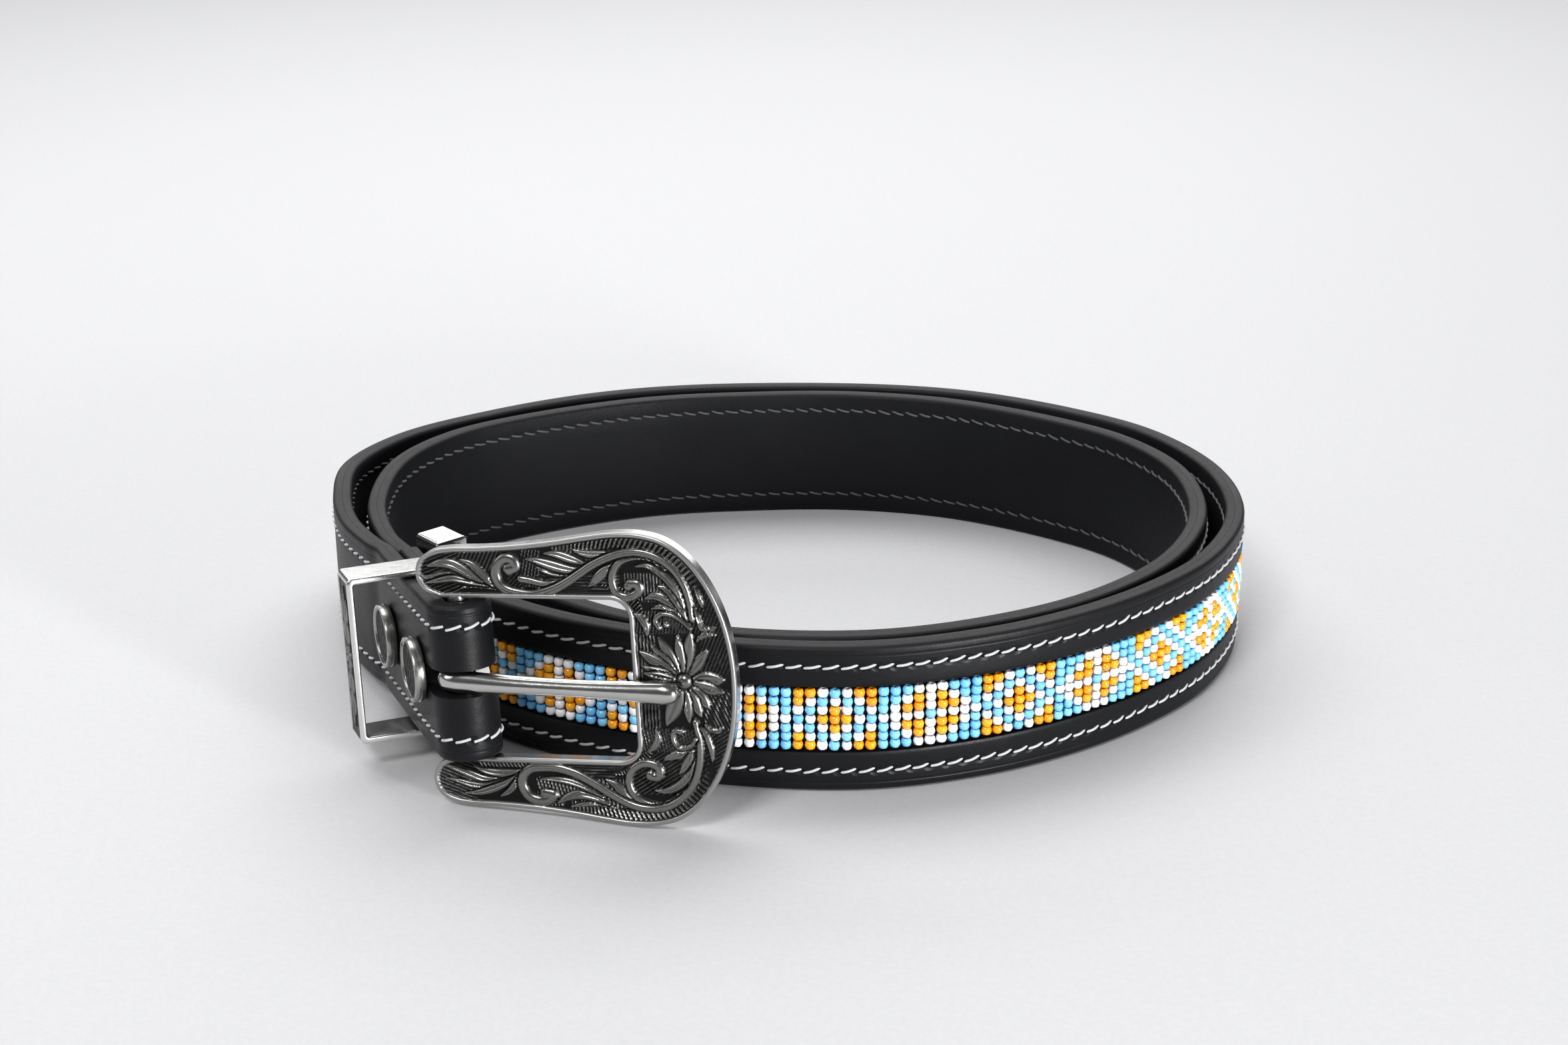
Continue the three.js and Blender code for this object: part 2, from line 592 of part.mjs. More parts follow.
// The keeper, a rectangular loop round both plies, with a raised flower and leaves
function keeper() {
  const back = -(2 * STRAP_THICKNESS + 3 * GAP);
  const high = HALF_WIDTH + KEEPER_PLAY;
  const wall = KEEPER_WALL;
  const shape = new THREE.Shape(
    cutRectangle(back - wall, KEEPER_REACH + wall, -high - wall, high + wall, KEEPER_EDGE)
      .map(([x, y]) => new THREE.Vector2(x, y)));
  const shell = toSolid(new THREE.ExtrudeGeometry(shape, {
    depth: KEEPER_WIDTH - 2 * KEEPER_EDGE,
    bevelThickness: KEEPER_EDGE,
    bevelSize: KEEPER_EDGE,
    bevelOffset: -KEEPER_EDGE,
    bevelSegments: 1,
  }).translate(0, 0, KEEPER_EDGE));
  const hole = new THREE.BoxGeometry(KEEPER_REACH - back, 2 * high, 2 * KEEPER_WIDTH);
  hole.translate((KEEPER_REACH + back) / 2, 0, KEEPER_WIDTH / 2);
  const leaves = [-1, 1].flatMap((sign) => KEEPER_LEAVES.map((share, k) => {
    const tilt = rad(k % 2 ? KEEPER_LEAF.tilt : -KEEPER_LEAF.tilt);
    const centre = [0, sign * high * share];
    return petal(high * KEEPER_LEAF.length, KEEPER_WIDTH * KEEPER_LEAF.half,
      sign * (Math.PI / 2 + tilt), centre);
  }));
  const petals = flower(KEEPER_PETAL.count, KEEPER_WIDTH * KEEPER_PETAL.length,
    KEEPER_WIDTH * KEEPER_PETAL.half);
  const relief = [...leaves, ...petals].map((points) => {
    const geometry = new THREE.ExtrudeGeometry(new THREE.Shape(points),
      { depth: 2 * KEEPER_RELIEF, bevelEnabled: false });
    geometry.rotateY(Math.PI / 2);
    geometry.translate(KEEPER_REACH + wall - KEEPER_RELIEF, 0, KEEPER_WIDTH / 2);
    return toSolid(geometry);
  });
  return toGeometry(wasm.Manifold.union([shell.subtract(toSolid(hole)), ...relief]));
}

// Studs: a dished cap with a hollow post, closed by a slotted screw behind the fold-back
function lathe(profile) {
  const points = profile.map(([r, y]) => new THREE.Vector2(r, y));
  const geometry = new THREE.LatheGeometry(points, ROUND_SIDES);
  geometry.rotateZ(-Math.PI / 2);
  return toSolid(geometry);
}

function studCap() {
  const foot = GAP;
  const rim = foot + STUD_THICKNESS;
  const end = -(2 * STRAP_THICKNESS + GAP);
  return toGeometry(lathe([
    [0, end / 2], [POST_BORE, end / 2], [POST_BORE, end], [POST_RADIUS, end], [POST_RADIUS, foot],
    [STUD_RADIUS - STUD_EDGE, foot], [STUD_RADIUS, foot + STUD_EDGE], [STUD_RADIUS, rim - STUD_EDGE],
    [STUD_RADIUS - STUD_EDGE, rim], [STUD_RADIUS - STUD_RIM, rim],
    [STUD_RADIUS - STUD_RIM, rim - STUD_DISH], [0, rim - STUD_DISH],
  ]));
}

function studScrew() {
  const seat = -(2 * STRAP_THICKNESS + 2 * GAP);
  const back = seat - SCREW_THICKNESS;
  const shankEnd = seat / 2 - SCREW_SHORT;
  const body = lathe([
    [0, back], [SCREW_RADIUS - STUD_EDGE, back], [SCREW_RADIUS, back + STUD_EDGE], [SCREW_RADIUS, seat],
    [SCREW_SHANK, seat], [SCREW_SHANK, shankEnd], [0, shankEnd],
  ]);
  const slot = new THREE.BoxGeometry(SCREW_THICKNESS, 4 * SCREW_RADIUS, SCREW_SLOT);
  slot.translate(back, 0, 0);
  return toGeometry(body.subtract(toSolid(slot)));
}

// The tip cap, a pocket over the strap's end
function tipCap() {
  const thick = STRAP_THICKNESS + 2 * GAP + 2 * TIP_CHEEK;
  const high = STRAP_WIDTH + 2 * GAP + 2 * TIP_WALL;
  const shape = new THREE.Shape(cutRectangle(-thick / 2, thick / 2, -high / 2, high / 2, TIP_BEVEL)
    .map(([x, y]) => new THREE.Vector2(x, y)));
  const shell = new THREE.ExtrudeGeometry(shape, {
    depth: TIP_LENGTH - 2 * TIP_BEVEL,
    bevelThickness: TIP_BEVEL,
    bevelSize: TIP_BEVEL,
    bevelOffset: -TIP_BEVEL,
    bevelSegments: 2,
  });
  shell.translate(-STRAP_THICKNESS / 2, 0, TIP_BEVEL - TIP_POCKET);
  const pocketDepth = TIP_POCKET + GAP;
  const pocket = new THREE.BoxGeometry(STRAP_THICKNESS + 2 * GAP, STRAP_WIDTH + 2 * GAP, 2 * pocketDepth);
  pocket.translate(-STRAP_THICKNESS / 2, 0, -TIP_POCKET);
  return toGeometry(toSolid(shell).subtract(toSolid(pocket)));
}

// Colours of the photographed surfaces
const LEATHER = { color: 0x141519, roughness: 0.38, metalness: 0 };
const LINING = { color: 0x1a1b20, roughness: 0.5, metalness: 0 };
const BEADS = { color: 0x8fc4e6, roughness: 0.2, metalness: 0 };
const NICKEL = { color: 0x8d8f8e, roughness: 0.3, metalness: 1 };
const POLISHED = { color: 0xc9cac8, roughness: 0.12, metalness: 1 };

function mesh(name, geometry, finish) {
  const piece = new THREE.Mesh(geometry, new THREE.MeshStandardMaterial({ ...finish, flatShading: true }));
  piece.name = name;
  return piece;
}

const belt = new THREE.Group();
belt.add(mesh('strap_lining', strapLining(), LINING));
belt.add(mesh('strap_face', strapFace(), LEATHER));
belt.add(mesh('bead_band', beadBand(), BEADS));

const buckle = place(new THREE.Group(),
  new THREE.Matrix4().makeBasis(strap.axes.u, strap.axes.up, strap.axes.out).setPosition(strap.bar));
buckle.add(mesh('buckle_frame', buckleFrame(), NICKEL));
buckle.add(mesh('buckle_prong', buckleProng(), POLISHED));
belt.add(buckle);

const keeperPlace = place(new THREE.Group(), placedOnStrap(KEEPER_AT + KEEPER_WIDTH / 2));
const keeperMesh = mesh('keeper', keeper(), POLISHED);
keeperMesh.position.z = -KEEPER_WIDTH / 2;
keeperPlace.add(keeperMesh);
belt.add(keeperPlace);

STUD_PLACES.forEach((s, k) => {
  const stud = place(new THREE.Group(), placedOnStrap(s));
  stud.add(mesh(`stud_cap_${k + 1}`, studCap(), NICKEL));
  stud.add(mesh(`stud_screw_${k + 1}`, studScrew(), NICKEL));
  belt.add(stud);
});

const tip = place(new THREE.Group(), placedOnStrap(strap.length));
tip.add(mesh('strap_tip', tipCap(), POLISHED));
belt.add(tip);

// The origin is the middle of the footprint, on the table
belt.updateMatrixWorld(true);
const box = new THREE.Box3().setFromObject(belt, true);
belt.position.set(-(box.min.x + box.max.x) / 2, -(box.min.y + box.max.y) / 2, -box.min.z);
belt.updateMatrixWorld(true);

export default belt;
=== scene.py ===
# %% [markdown]
# # A beaded leather belt, coiled on its edge
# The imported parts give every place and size. This script dresses them: leather, glass beads, thread
# and antiqued nickel. Lengths are in millimetres until a mesh is made, where MM turns them to metres.

# %% Load the frame
import json
import math

import bpy
import numpy as np
from mathutils import Euler, Matrix, Vector


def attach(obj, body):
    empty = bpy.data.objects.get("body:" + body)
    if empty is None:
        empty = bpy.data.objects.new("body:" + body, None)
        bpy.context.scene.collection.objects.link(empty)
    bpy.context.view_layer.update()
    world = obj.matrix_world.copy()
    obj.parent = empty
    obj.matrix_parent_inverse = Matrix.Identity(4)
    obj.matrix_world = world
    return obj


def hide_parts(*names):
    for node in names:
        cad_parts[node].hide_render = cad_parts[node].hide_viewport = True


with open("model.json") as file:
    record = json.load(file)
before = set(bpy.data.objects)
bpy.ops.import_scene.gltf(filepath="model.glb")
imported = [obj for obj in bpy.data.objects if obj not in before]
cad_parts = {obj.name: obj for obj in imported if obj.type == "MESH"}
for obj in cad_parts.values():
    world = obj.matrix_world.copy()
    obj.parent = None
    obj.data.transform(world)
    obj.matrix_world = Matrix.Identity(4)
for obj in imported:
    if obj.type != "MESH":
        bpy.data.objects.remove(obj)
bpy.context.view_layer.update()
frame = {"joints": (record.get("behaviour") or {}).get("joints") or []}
MM = 0.001

# %% [markdown]
# ## Camera
# The photograph was taken from about half a metre, a little above the belt and looking down on it.

# %% Camera
CAMERA_AT = (0.0, -477.9, 215.3)
CAMERA_PITCH = 21.5
LENS = 55
SENSOR_WIDTH = 36
NEAREST_SEEN = 0.01


def added(name, data):
    """A new object with this data, in the scene."""
    made = bpy.data.objects.new(name, data)
    bpy.context.scene.collection.objects.link(made)
    return made


camera = added("camera", bpy.data.cameras.new("camera"))
camera.data.lens = LENS
camera.data.sensor_width = SENSOR_WIDTH
camera.data.clip_start = NEAREST_SEEN
camera.location = Vector(CAMERA_AT) * MM
camera.rotation_euler = Euler((math.radians(90 - CAMERA_PITCH), 0, 0))
bpy.context.scene.camera = camera

# %% [markdown]
# ## The route of the strap
# The strap's outer face follows a flat spiral given by angle and radius. It starts straight at the
# buckle's bar, climbs to it, and ends inside the coil. One smooth curve runs through the chosen points.

# %% Named sizes of the strap
STRAP_WIDTH = 30
STRAP_THICKNESS = 4
HALF_WIDTH = STRAP_WIDTH / 2
COIL_RADIUS = 100
FOLD_ANGLE = 237
TURN_ROOM = 4
OUTER_TURN = [
    (33, 0.926), (44, 0.948), (56, 0.974), (69, 1.010), (82, 0.987), (97, 0.911), (112, 0.858),
    (126, 0.820), (143, 0.793), (165, 0.820), (180, 0.866), (196, 0.918), (210, 0.974), (226, 1.001),
    (242, 0.992), (258, 0.950), (272, 0.900), (286, 0.860), (300, 0.832), (316, 0.810), (336, 0.785),
    (352, 0.779), (364, 0.792), (380, 0.820), (398, 0.863),
]
INNER_TURN = [
    (403, 0.74), (415, 0.85), (432, 1.20), (445, 0.95), (457, 0.80), (480, 0.90), (502, 0.72),
    (520, 0.72), (540, 0.90), (562, 1.05), (573, 0.95), (586, 0.95), (603, 0.93), (620, 0.55),
    (636, 0.22), (652, 0.20), (672, 0.18), (692, 0.18), (708, 0.25), (722, 0.55), (736, 1.00),
    (746, 1.10), (755.5, 0.75),
]
BAR_ANGLE = 234.1
BAR_FROM_CENTRE = 1.011 * COIL_RADIUS
FOLD_HEADING = -68.3
CLIMB_LENGTH = 140
FOLD_BACK = 41
STRAIGHT_BEYOND = 4
LOOP_INNER = 2.1
FOLD_CLOSES_AT = 4.6
TIP_RISE_LENGTH = 70
TIP_POCKET = 6
TIP_LIFT = 1.3
GAP = 0.3
PLAN_SAMPLES = 60
LOOK = 0.5

# %% Curve helpers
def unit(vector):
    return vector / np.linalg.norm(vector)


def units(vectors):
    """Each row of an array, brought to length one."""
    return vectors / np.linalg.norm(vectors, axis=1)[:, None]


def smooth(value, low=0.0, high=1.0):
    share = np.clip((value - low) / (high - low), 0, 1)
    return share * share * (3 - 2 * share)


def between(value, low, high, soft):
    """1 from low to high and 0 outside, changing smoothly within soft of each."""
    return smooth(value, low - soft, low + soft) * (1 - smooth(value, high - soft, high + soft))


def rounded_through(points, samples):
    """A curve through the points whose bends stay even where the points are unevenly spaced."""
    points = np.array(points, float)
    whole = np.vstack([2 * points[0] - points[1], points, 2 * points[-1] - points[-2]])
    made = []
    for a, b, c, d in zip(whole, whole[1:], whole[2:], whole[3:]):
        before, span, after = [max(np.linalg.norm(q - p), 1e-8) ** 0.5 for p, q in ((a, b), (b, c), (c, d))]
        leave = ((b - a) / before - (c - a) / (before + span) + (c - b) / span) * span
        arrive = ((c - b) / span - (d - b) / (span + after) + (d - c) / after) * span
        t = np.linspace(0, 1, samples, endpoint=False)[:, None]
        made.append(b + leave * t + (3 * (c - b) - 2 * leave - arrive) * t**2
                    + (2 * (b - c) + leave + arrive) * t**3)
    return np.vstack([*made, points[-1:]])


def lengths_along(points):
    return np.concatenate([[0], np.cumsum(np.linalg.norm(np.diff(points, axis=0), axis=1))])


def resampled(points, places):
    reach = lengths_along(points)
    return np.stack([np.interp(places, reach, column) for column in np.asarray(points).T], axis=1)


def round_turns(sides):
    return np.linspace(0, 2 * np.pi, sides, endpoint=False)


def ring_round(x_axis, y_axis, sides):
    """Points one millimetre from the origin, in the plane of two directions."""
    turns = round_turns(sides)
    return np.cos(turns)[:, None] * x_axis + np.sin(turns)[:, None] * y_axis


# %% Where the buckle's bar is
hinge = frame["joints"][0]
BAR = np.array(hinge["pos_m"]) / MM
BAR_UP = unit(np.array(hinge["axis"]))
heading = math.radians(FOLD_HEADING)
flat_ahead = np.array([math.cos(heading), math.sin(heading), 0])
SLOPE = -BAR_UP @ flat_ahead / BAR_UP[2]
AHEAD = unit(flat_ahead + [0, 0, SLOPE])
SIDE = np.cross(BAR_UP, AHEAD)
turn = math.radians(BAR_ANGLE)
CENTRE = BAR[:2] - BAR_FROM_CENTRE * np.array([math.cos(turn), math.sin(turn)])
print("coil centre, mm:", CENTRE.round(2), "slope at the bar:", round(float(SLOPE), 3))

# %% The strap's route
def coil_radius(angle):
    if angle <= OUTER_TURN[-1][0]:
        return COIL_RADIUS * np.interp(angle, *zip(*OUTER_TURN))
    return coil_radius(angle - 360) - STRAP_THICKNESS - TURN_ROOM * np.interp(angle, *zip(*INNER_TURN))


def plan_points():
    start = BAR - SIDE * (LOOP_INNER + STRAP_THICKNESS)
    points = [start - AHEAD * s for s in (0, FOLD_BACK / 2, FOLD_BACK, FOLD_BACK + STRAIGHT_BEYOND)]
    for angle, _ in OUTER_TURN + INNER_TURN:
        turn = math.radians(FOLD_ANGLE - angle)
        radius = coil_radius(angle)
        points.append([CENTRE[0] + radius * math.cos(turn), CENTRE[1] + radius * math.sin(turn), 0])
    return np.array(points)[:, :2]


plan = rounded_through(plan_points(), PLAN_SAMPLES)
plan_reach = lengths_along(plan)
STRAP_LENGTH = plan_reach[-1]
LIFT = BAR[2] - HALF_WIDTH


def height_at(s):
    climb = LIFT * np.maximum(0, 1 - s / CLIMB_LENGTH) ** 2
    tip_rise = TIP_LIFT * smooth(s, STRAP_LENGTH - TIP_RISE_LENGTH, STRAP_LENGTH - TIP_POCKET)
    return HALF_WIDTH + climb + tip_rise


def route(places):
    """Centre of the outer face, with the directions along, across and out of the strap."""
    s = np.asarray(places, float)
    ahead = resampled(plan, np.minimum(s + LOOK, STRAP_LENGTH)) - resampled(plan, np.maximum(s - LOOK, 0))
    along = np.column_stack([units(ahead), height_at(s + LOOK) - height_at(s - LOOK)])
    along[s < LOOK, 2] = -SLOPE
    along = units(along)
    up = units(np.array([0, 0, 1]) - along * along[:, 2:])
    return np.column_stack([resampled(plan, s), height_at(s)]), along, up, np.cross(up, along)


def station(place):
    """The same four at one place."""
    return [group[0] for group in route([place])]


print("strap length, mm:", round(float(STRAP_LENGTH)))

# %% [markdown]
# The whole leather path has three stretches: the end folded back behind the strap, the loop round the
# bar, and the strap itself. Each station keeps how far it lies along the outer face, for the stitches.

# %% The leather's stations
STATION_STEP = 1.0
LOOP_STEPS = 28
EASE_STEPS = 10
LAST_BEFORE_LOOP = 0.3


def leather_stations():
    back_s = np.concatenate([np.arange(FOLD_BACK, FOLD_CLOSES_AT, -STATION_STEP),
                             np.linspace(FOLD_CLOSES_AT, LAST_BEFORE_LOOP, EASE_STEPS)])
    centre, _, up, out = route(back_s)
    ease = 1 - smooth(back_s, 0, FOLD_CLOSES_AT)
    depth = 2 * STRAP_THICKNESS + GAP + (2 * LOOP_INNER - GAP) * ease
    back = (centre - out * depth[:, None], up, -out)
    angles = np.pi * (0.5 - np.arange(LOOP_STEPS) / LOOP_STEPS)
    ring_out = np.cos(angles)[:, None] * AHEAD + np.sin(angles)[:, None] * SIDE
    loop = (BAR + ring_out * (LOOP_INNER + STRAP_THICKNESS), np.tile(BAR_UP, (LOOP_STEPS, 1)), ring_out)
    main_s = np.arange(0, STRAP_LENGTH, STATION_STEP)
    centre, _, up, out = route(main_s)
    point, up, out = (np.vstack(group) for group in zip(back, loop, (centre, up, out)))
    s = np.concatenate([-back_s, np.zeros(LOOP_STEPS), main_s])
    return {"s": s, "point": point, "up": up, "out": out, "reach": lengths_along(point)}


stations = leather_stations()
FOLD_REACH = float(np.interp(0.001, stations["s"], stations["reach"]))
print("stations:", len(stations["s"]))

# %% [markdown]
# ## Nodes
# One helper adds a node, in a material or a Geometry Nodes tree. A shader needs a node for each sum, so
# a small class wraps a socket and lets a sum be written as a sum: each operator adds the Math node for it.

# %% Adding a node
def put(tree, socket, value):
    """Links a socket to another node's, or gives it a plain value."""
    value = getattr(value, "socket", value)
    if isinstance(value, bpy.types.NodeSocket):
        tree.links.new(value, socket)
    elif socket.type == "RGBA":
        socket.default_value = (*value, 1)
    else:
        socket.default_value = value


def add_node(tree, kind, settings=None, sockets=None):
    made = tree.nodes.new(kind)
    for key, value in (settings or {}).items():
        setattr(made, key, value)
    for key, value in (sockets or {}).items():
        put(tree, made.inputs[key], value)
    return made


# %% A socket that can be calculated with
class Signal:
    def __init__(self, finish, socket):
        self.finish = finish
        self.socket = socket

    def math(self, operation, *others):
        return self.finish.math(operation, self, *others)

    def __add__(self, other):
        return self.math("ADD", other)

    def __sub__(self, other):
        return self.math("SUBTRACT", other)

    def __rsub__(self, other):
        return self.finish.math("SUBTRACT", other, self)

    def __mul__(self, other):
        return self.math("MULTIPLY", other)

    def __truediv__(self, other):
        return self.math("DIVIDE", other)

    def __pow__(self, other):
        return self.math("POWER", other)

    __radd__ = __add__
    __rmul__ = __mul__

    def ramp(self, low, high):
        """0 below low, 1 above high, and smooth between them."""
        settings = {"interpolation_type": "SMOOTHSTEP"}
        return self.finish.node("ShaderNodeMapRange", settings, {0: self, 1: low, 2: high})


# %% A material written as expressions
class Finish:
    def __init__(self, name, **shader):
        self.material = bpy.data.materials.new(name)
        self.material.use_nodes = True
        self.tree = self.material.node_tree
        self.tree.nodes.clear()
        self.shader = add_node(self.tree, "ShaderNodeBsdfPrincipled")
        add_node(self.tree, "ShaderNodeOutputMaterial", None, {0: self.shader.outputs[0]})
        for label, value in shader.items():
            self.set(label, value)

    def set(self, label, value):
        label = label.replace("_", " ").title().replace("Ior", "IOR")
        put(self.tree, self.shader.inputs[label], value)

    def node(self, kind, settings=None, sockets=None, output=0):
        return Signal(self, add_node(self.tree, kind, settings, sockets).outputs[output])

    def math(self, operation, *values):
        return self.node("ShaderNodeMath", {"operation": operation}, dict(enumerate(values)))

    def place(self):
        return self.node("ShaderNodeTexCoord", output=3)

    def surface(self):
        """The piece's own UV map in millimetres, then its two lengths."""
        uv = self.node("ShaderNodeUVMap", {"uv_map": "surface"})
        split = add_node(self.tree, "ShaderNodeSeparateXYZ", None, {0: uv})
        return uv, Signal(self, split.outputs[0]), Signal(self, split.outputs[1])

    def attribute(self, name):
        return self.node("ShaderNodeAttribute", {"attribute_name": name}, output=2)

    def noise(self, scale, detail=3, roughness=0.5, where=None):
        sockets = {"Vector": where or self.place(), "Scale": scale, "Detail": detail, "Roughness": roughness}
        return self.node("ShaderNodeTexNoise", None, sockets)

    def cells(self, scale):
        return self.node("ShaderNodeTexVoronoi", None, {"Vector": self.place(), "Scale": scale})

    def mix(self, a, b, share):
        settings = {"data_type": "RGBA", "clamp_factor": True}
        return self.node("ShaderNodeMix", settings, {0: share, 6: a, 7: b}, output=2)

    def finished(self, colour, roughness, height):
        """The material, with its colour, its roughness, and a bump from a height in millimetres."""
        self.set("Base Color", colour)
        self.set("Roughness", roughness)
        sockets = {"Height": height, "Distance": MM, "Strength": 1.0}
        self.set("Normal", self.node("ShaderNodeBump", None, sockets))
        return self.material


# %% [markdown]
# ## Leather
# The face leather is smooth, nearly black and polished. It has a very fine grain, small creases, and a
# pucker at each needle hole, with painted shade inside each hole. The edges are burnished to a dull dark
# grey.

# %% Stitch sizes
STITCH_PITCH = 3.5
STITCH_LENGTH = 3.0
STITCH_UPPER = 11.0
STITCH_LOWER = -10.7
CREASE_AT = 13.2
BURNISHED = (HALF_WIDTH - 0.8, HALF_WIDTH - 0.1)

# %% Leather finishes
def leather_face():
    """The shares called hole and pucker are 0 at a needle hole and 1 away from it."""
    finish = Finish("face leather", specular_ior_level=0.18)
    _, along, across = finish.surface()
    grain = finish.cells(2600) ** 0.6
    fine = finish.noise(5200, 2)
    cloud = finish.noise(60, 4, 0.6)
    step = along / STITCH_PITCH
    to_hole = step.math("FRACT") - 0.5
    side = across.math("ABSOLUTE")
    row = side - (STITCH_UPPER - STITCH_LOWER) / 2
    spread = to_hole * to_hole * STITCH_PITCH**2
    hole = (spread * 1.7 + row * row * 5.0).ramp(0.08, 0.8)
    pucker = (spread * 1.2 + row * row * 2.0).ramp(0.0, 2.4)
    line = ((side - CREASE_AT) * (side - CREASE_AT)).ramp(0.0, 0.12)
    edge = side.ramp(*BURNISHED)
    base = finish.mix((0.0024, 0.0025, 0.0031), (0.0052, 0.0055, 0.0066), cloud)
    base = finish.mix(base, (0.007, 0.007, 0.008), edge * 0.8)
    # Near black at each needle hole: painted shade inside the hole.
    base = finish.mix((0.0004, 0.0004, 0.0004), base, hole)
    rough = (0.28 + grain * 0.1 + cloud * 0.16 + edge * 0.14) * hole + 0.8 * (1 - hole)
    height = grain * 0.016 + fine * 0.01 + cloud * 0.3 + hole * 0.2 + pucker * 0.16 + line * 0.07
    return finish.finished(base, rough, height)


def leather_lining():
    finish = Finish("lining leather", specular_ior_level=0.12)
    _, _, across = finish.surface()
    grain = finish.cells(1900) ** 0.7
    cloud = finish.noise(45, 4, 0.6)
    edge = across.math("ABSOLUTE").ramp(*BURNISHED)
    base = finish.mix((0.004, 0.0042, 0.0052), (0.008, 0.0084, 0.0098), cloud)
    base = finish.mix(base, (0.009, 0.009, 0.01), edge * 0.8)
    return finish.finished(base, 0.38 + grain * 0.12 + cloud * 0.15, grain * 0.03 + cloud * 0.35)


# %% Other finishes
def thread_finish(name, dark, light):
    finish = Finish(name)
    _, along, across = finish.surface()
    ply = (along * 3.2 + across * 4.0).math("SINE")
    fuzz = finish.noise(4000, 3)
    # The ply wave also darkens the thread in the grooves between its plies and lightens it on their crests:
    # painted shade and light along the twist. The fuzz is the thread's own uneven tone.
    colour = finish.mix(dark, light, ply * 0.25 + fuzz * 0.6 + 0.2)
    return finish.finished(colour, 0.55 + fuzz * 0.2, ply * 0.04 + fuzz * 0.03)


def bead_finish(name, deep, bright):
    finish = Finish(name, coat_weight=0.5, coat_roughness=0.05, ior=1.5)
    tone = finish.attribute("tone")
    mottle = finish.noise(900, 2)
    finish.set("Base Color", finish.mix(deep, bright, tone * 0.8 + mottle * 0.3))
    finish.set("Roughness", 0.12 + mottle * 0.16)
    return finish.material


def antique_nickel(name):
    """Blackened in the hollows, rubbed bright on the relief, polished on the rim."""
    finish = Finish(name)
    height = finish.attribute("relief")
    rim = finish.attribute("rim")
    stain = finish.noise(420, 4, 0.65)
    scratch = finish.noise(2600, 3, 0.6)
    worn = (height + stain * 0.34 - 0.17).ramp(0.1, 0.9)
    tone = finish.mix((0.008, 0.008, 0.0085), (0.2, 0.198, 0.19), worn)
    tone = finish.mix(tone, (0.68, 0.675, 0.66), rim)
    finish.set("Metallic", 0.8 + worn * 0.2)
    rough = (0.36 - worn * 0.14 + scratch * 0.1) * (1 - rim) + rim * (0.16 + stain * 0.12)
    return finish.finished(tone, rough, scratch * 0.012 + stain * 0.02)


def polished_nickel(name, rough=0.13):
    finish = Finish(name, metallic=1.0)
    stain = finish.noise(130, 5, 0.6)
    hair = finish.noise(1500, 2, 0.7)
    colour = finish.mix((0.42, 0.415, 0.4), (0.6, 0.595, 0.58), stain)
    return finish.finished(colour, rough + stain * 0.1 + hair * 0.04, hair * 0.006 + stain * 0.02)


# %% [markdown]
# ## Meshes from grids
# Most pieces here are grids of points: rings along a path, closed round the piece. One helper makes the
# mesh, its UV map in millimetres, and its two end faces.

# %% Grid to mesh
def give_attribute(mesh, label, values):
    """Stores one number, or one vector, for each point of the mesh."""
    values = np.asarray(values, np.float32)
    kind, field = ("FLOAT", "value") if values.ndim == 1 else ("FLOAT_VECTOR", "vector")
    mesh.attributes.new(label, kind, "POINT").data.foreach_set(field, values.ravel())


def made_piece(name, points, faces, material, uv=None, sharp=40, attributes=None):
    mesh = bpy.data.meshes.new(name)
    mesh.from_pydata((np.asarray(points) * MM).tolist(), [], faces)
    mesh.validate()
    if uv is not None:
        layer = mesh.uv_layers.new(name="surface")
        corner = np.zeros(len(mesh.loops), np.int32)
        mesh.loops.foreach_get("vertex_index", corner)
        layer.data.foreach_set("uv", np.asarray(uv, np.float32)[corner].ravel())
    for label, values in (attributes or {}).items():
        give_attribute(mesh, label, values)
    mesh.shade_smooth()
    mesh.set_sharp_from_angle(angle=math.radians(sharp))
    mesh.materials.append(material)
    return added(name, mesh)


def tube_piece(name, rings, material, uv=None, sharp=40, attributes=None, closed_rows=False):
    """A piece from rings of points: shape (rings, points, 3), closed by an end face at each end."""
    rows, columns, _ = rings.shape
    faces = []
    for i in range(rows if closed_rows else rows - 1):
        here, there = i * columns, (i + 1) % rows * columns
        for j in range(columns):
            k = (j + 1) % columns
            faces.append((here + j, here + k, there + k, there + j))
    if not closed_rows:
        faces.append(tuple(reversed(range(columns))))
        faces.append(tuple(range((rows - 1) * columns, rows * columns)))
    return made_piece(name, rings.reshape(-1, 3), faces, material, uv, sharp, attributes)


def put_right(piece):
    """Turns a closed piece's faces outwards where its rings ran the other way."""
    mesh = piece.data
    volume = sum(Vector(face.center).dot(face.normal) * face.area for face in mesh.polygons)
    if volume < 0:
        mesh.flip_normals()
    return piece


# %% [markdown]
# ## The strap
# Two plies are glued and sewn. The outer ply has a window for the beads: there the section drops to a
# floor, so one grid makes the whole ply. Its edges are rounded and burnished.

# %% Sizes of the plies and the band
BEAD_ROWS = 7
BEAD_ROW_PITCH = 1.83
BAND_HALF = BEAD_ROWS * BEAD_ROW_PITCH / 2
BAND_FROM_FOLD = 106
BAND_FROM_TIP = 256
BAND_FLOOR = -1.75
PLY_SEAM = 0.05
SEAM_AT = -2.05
EDGE_ROUND = 0.75
WINDOW_PLAY = 0.35
WINDOW_FADE = 0.3
WINDOW_ROWS_WITHIN = 9
PLY_SHARP = 50
band_start = BAND_FROM_FOLD
band_end = STRAP_LENGTH - BAND_FROM_TIP


# %% The plies
def mirrored(rows, on_axis=0):
    """Half a section with its mirror image; on_axis is 1 where the last row is shared."""
    rows = np.array(rows, float)
    return np.vstack([rows, rows[::-1][on_axis:] * (-1, 1)]).T


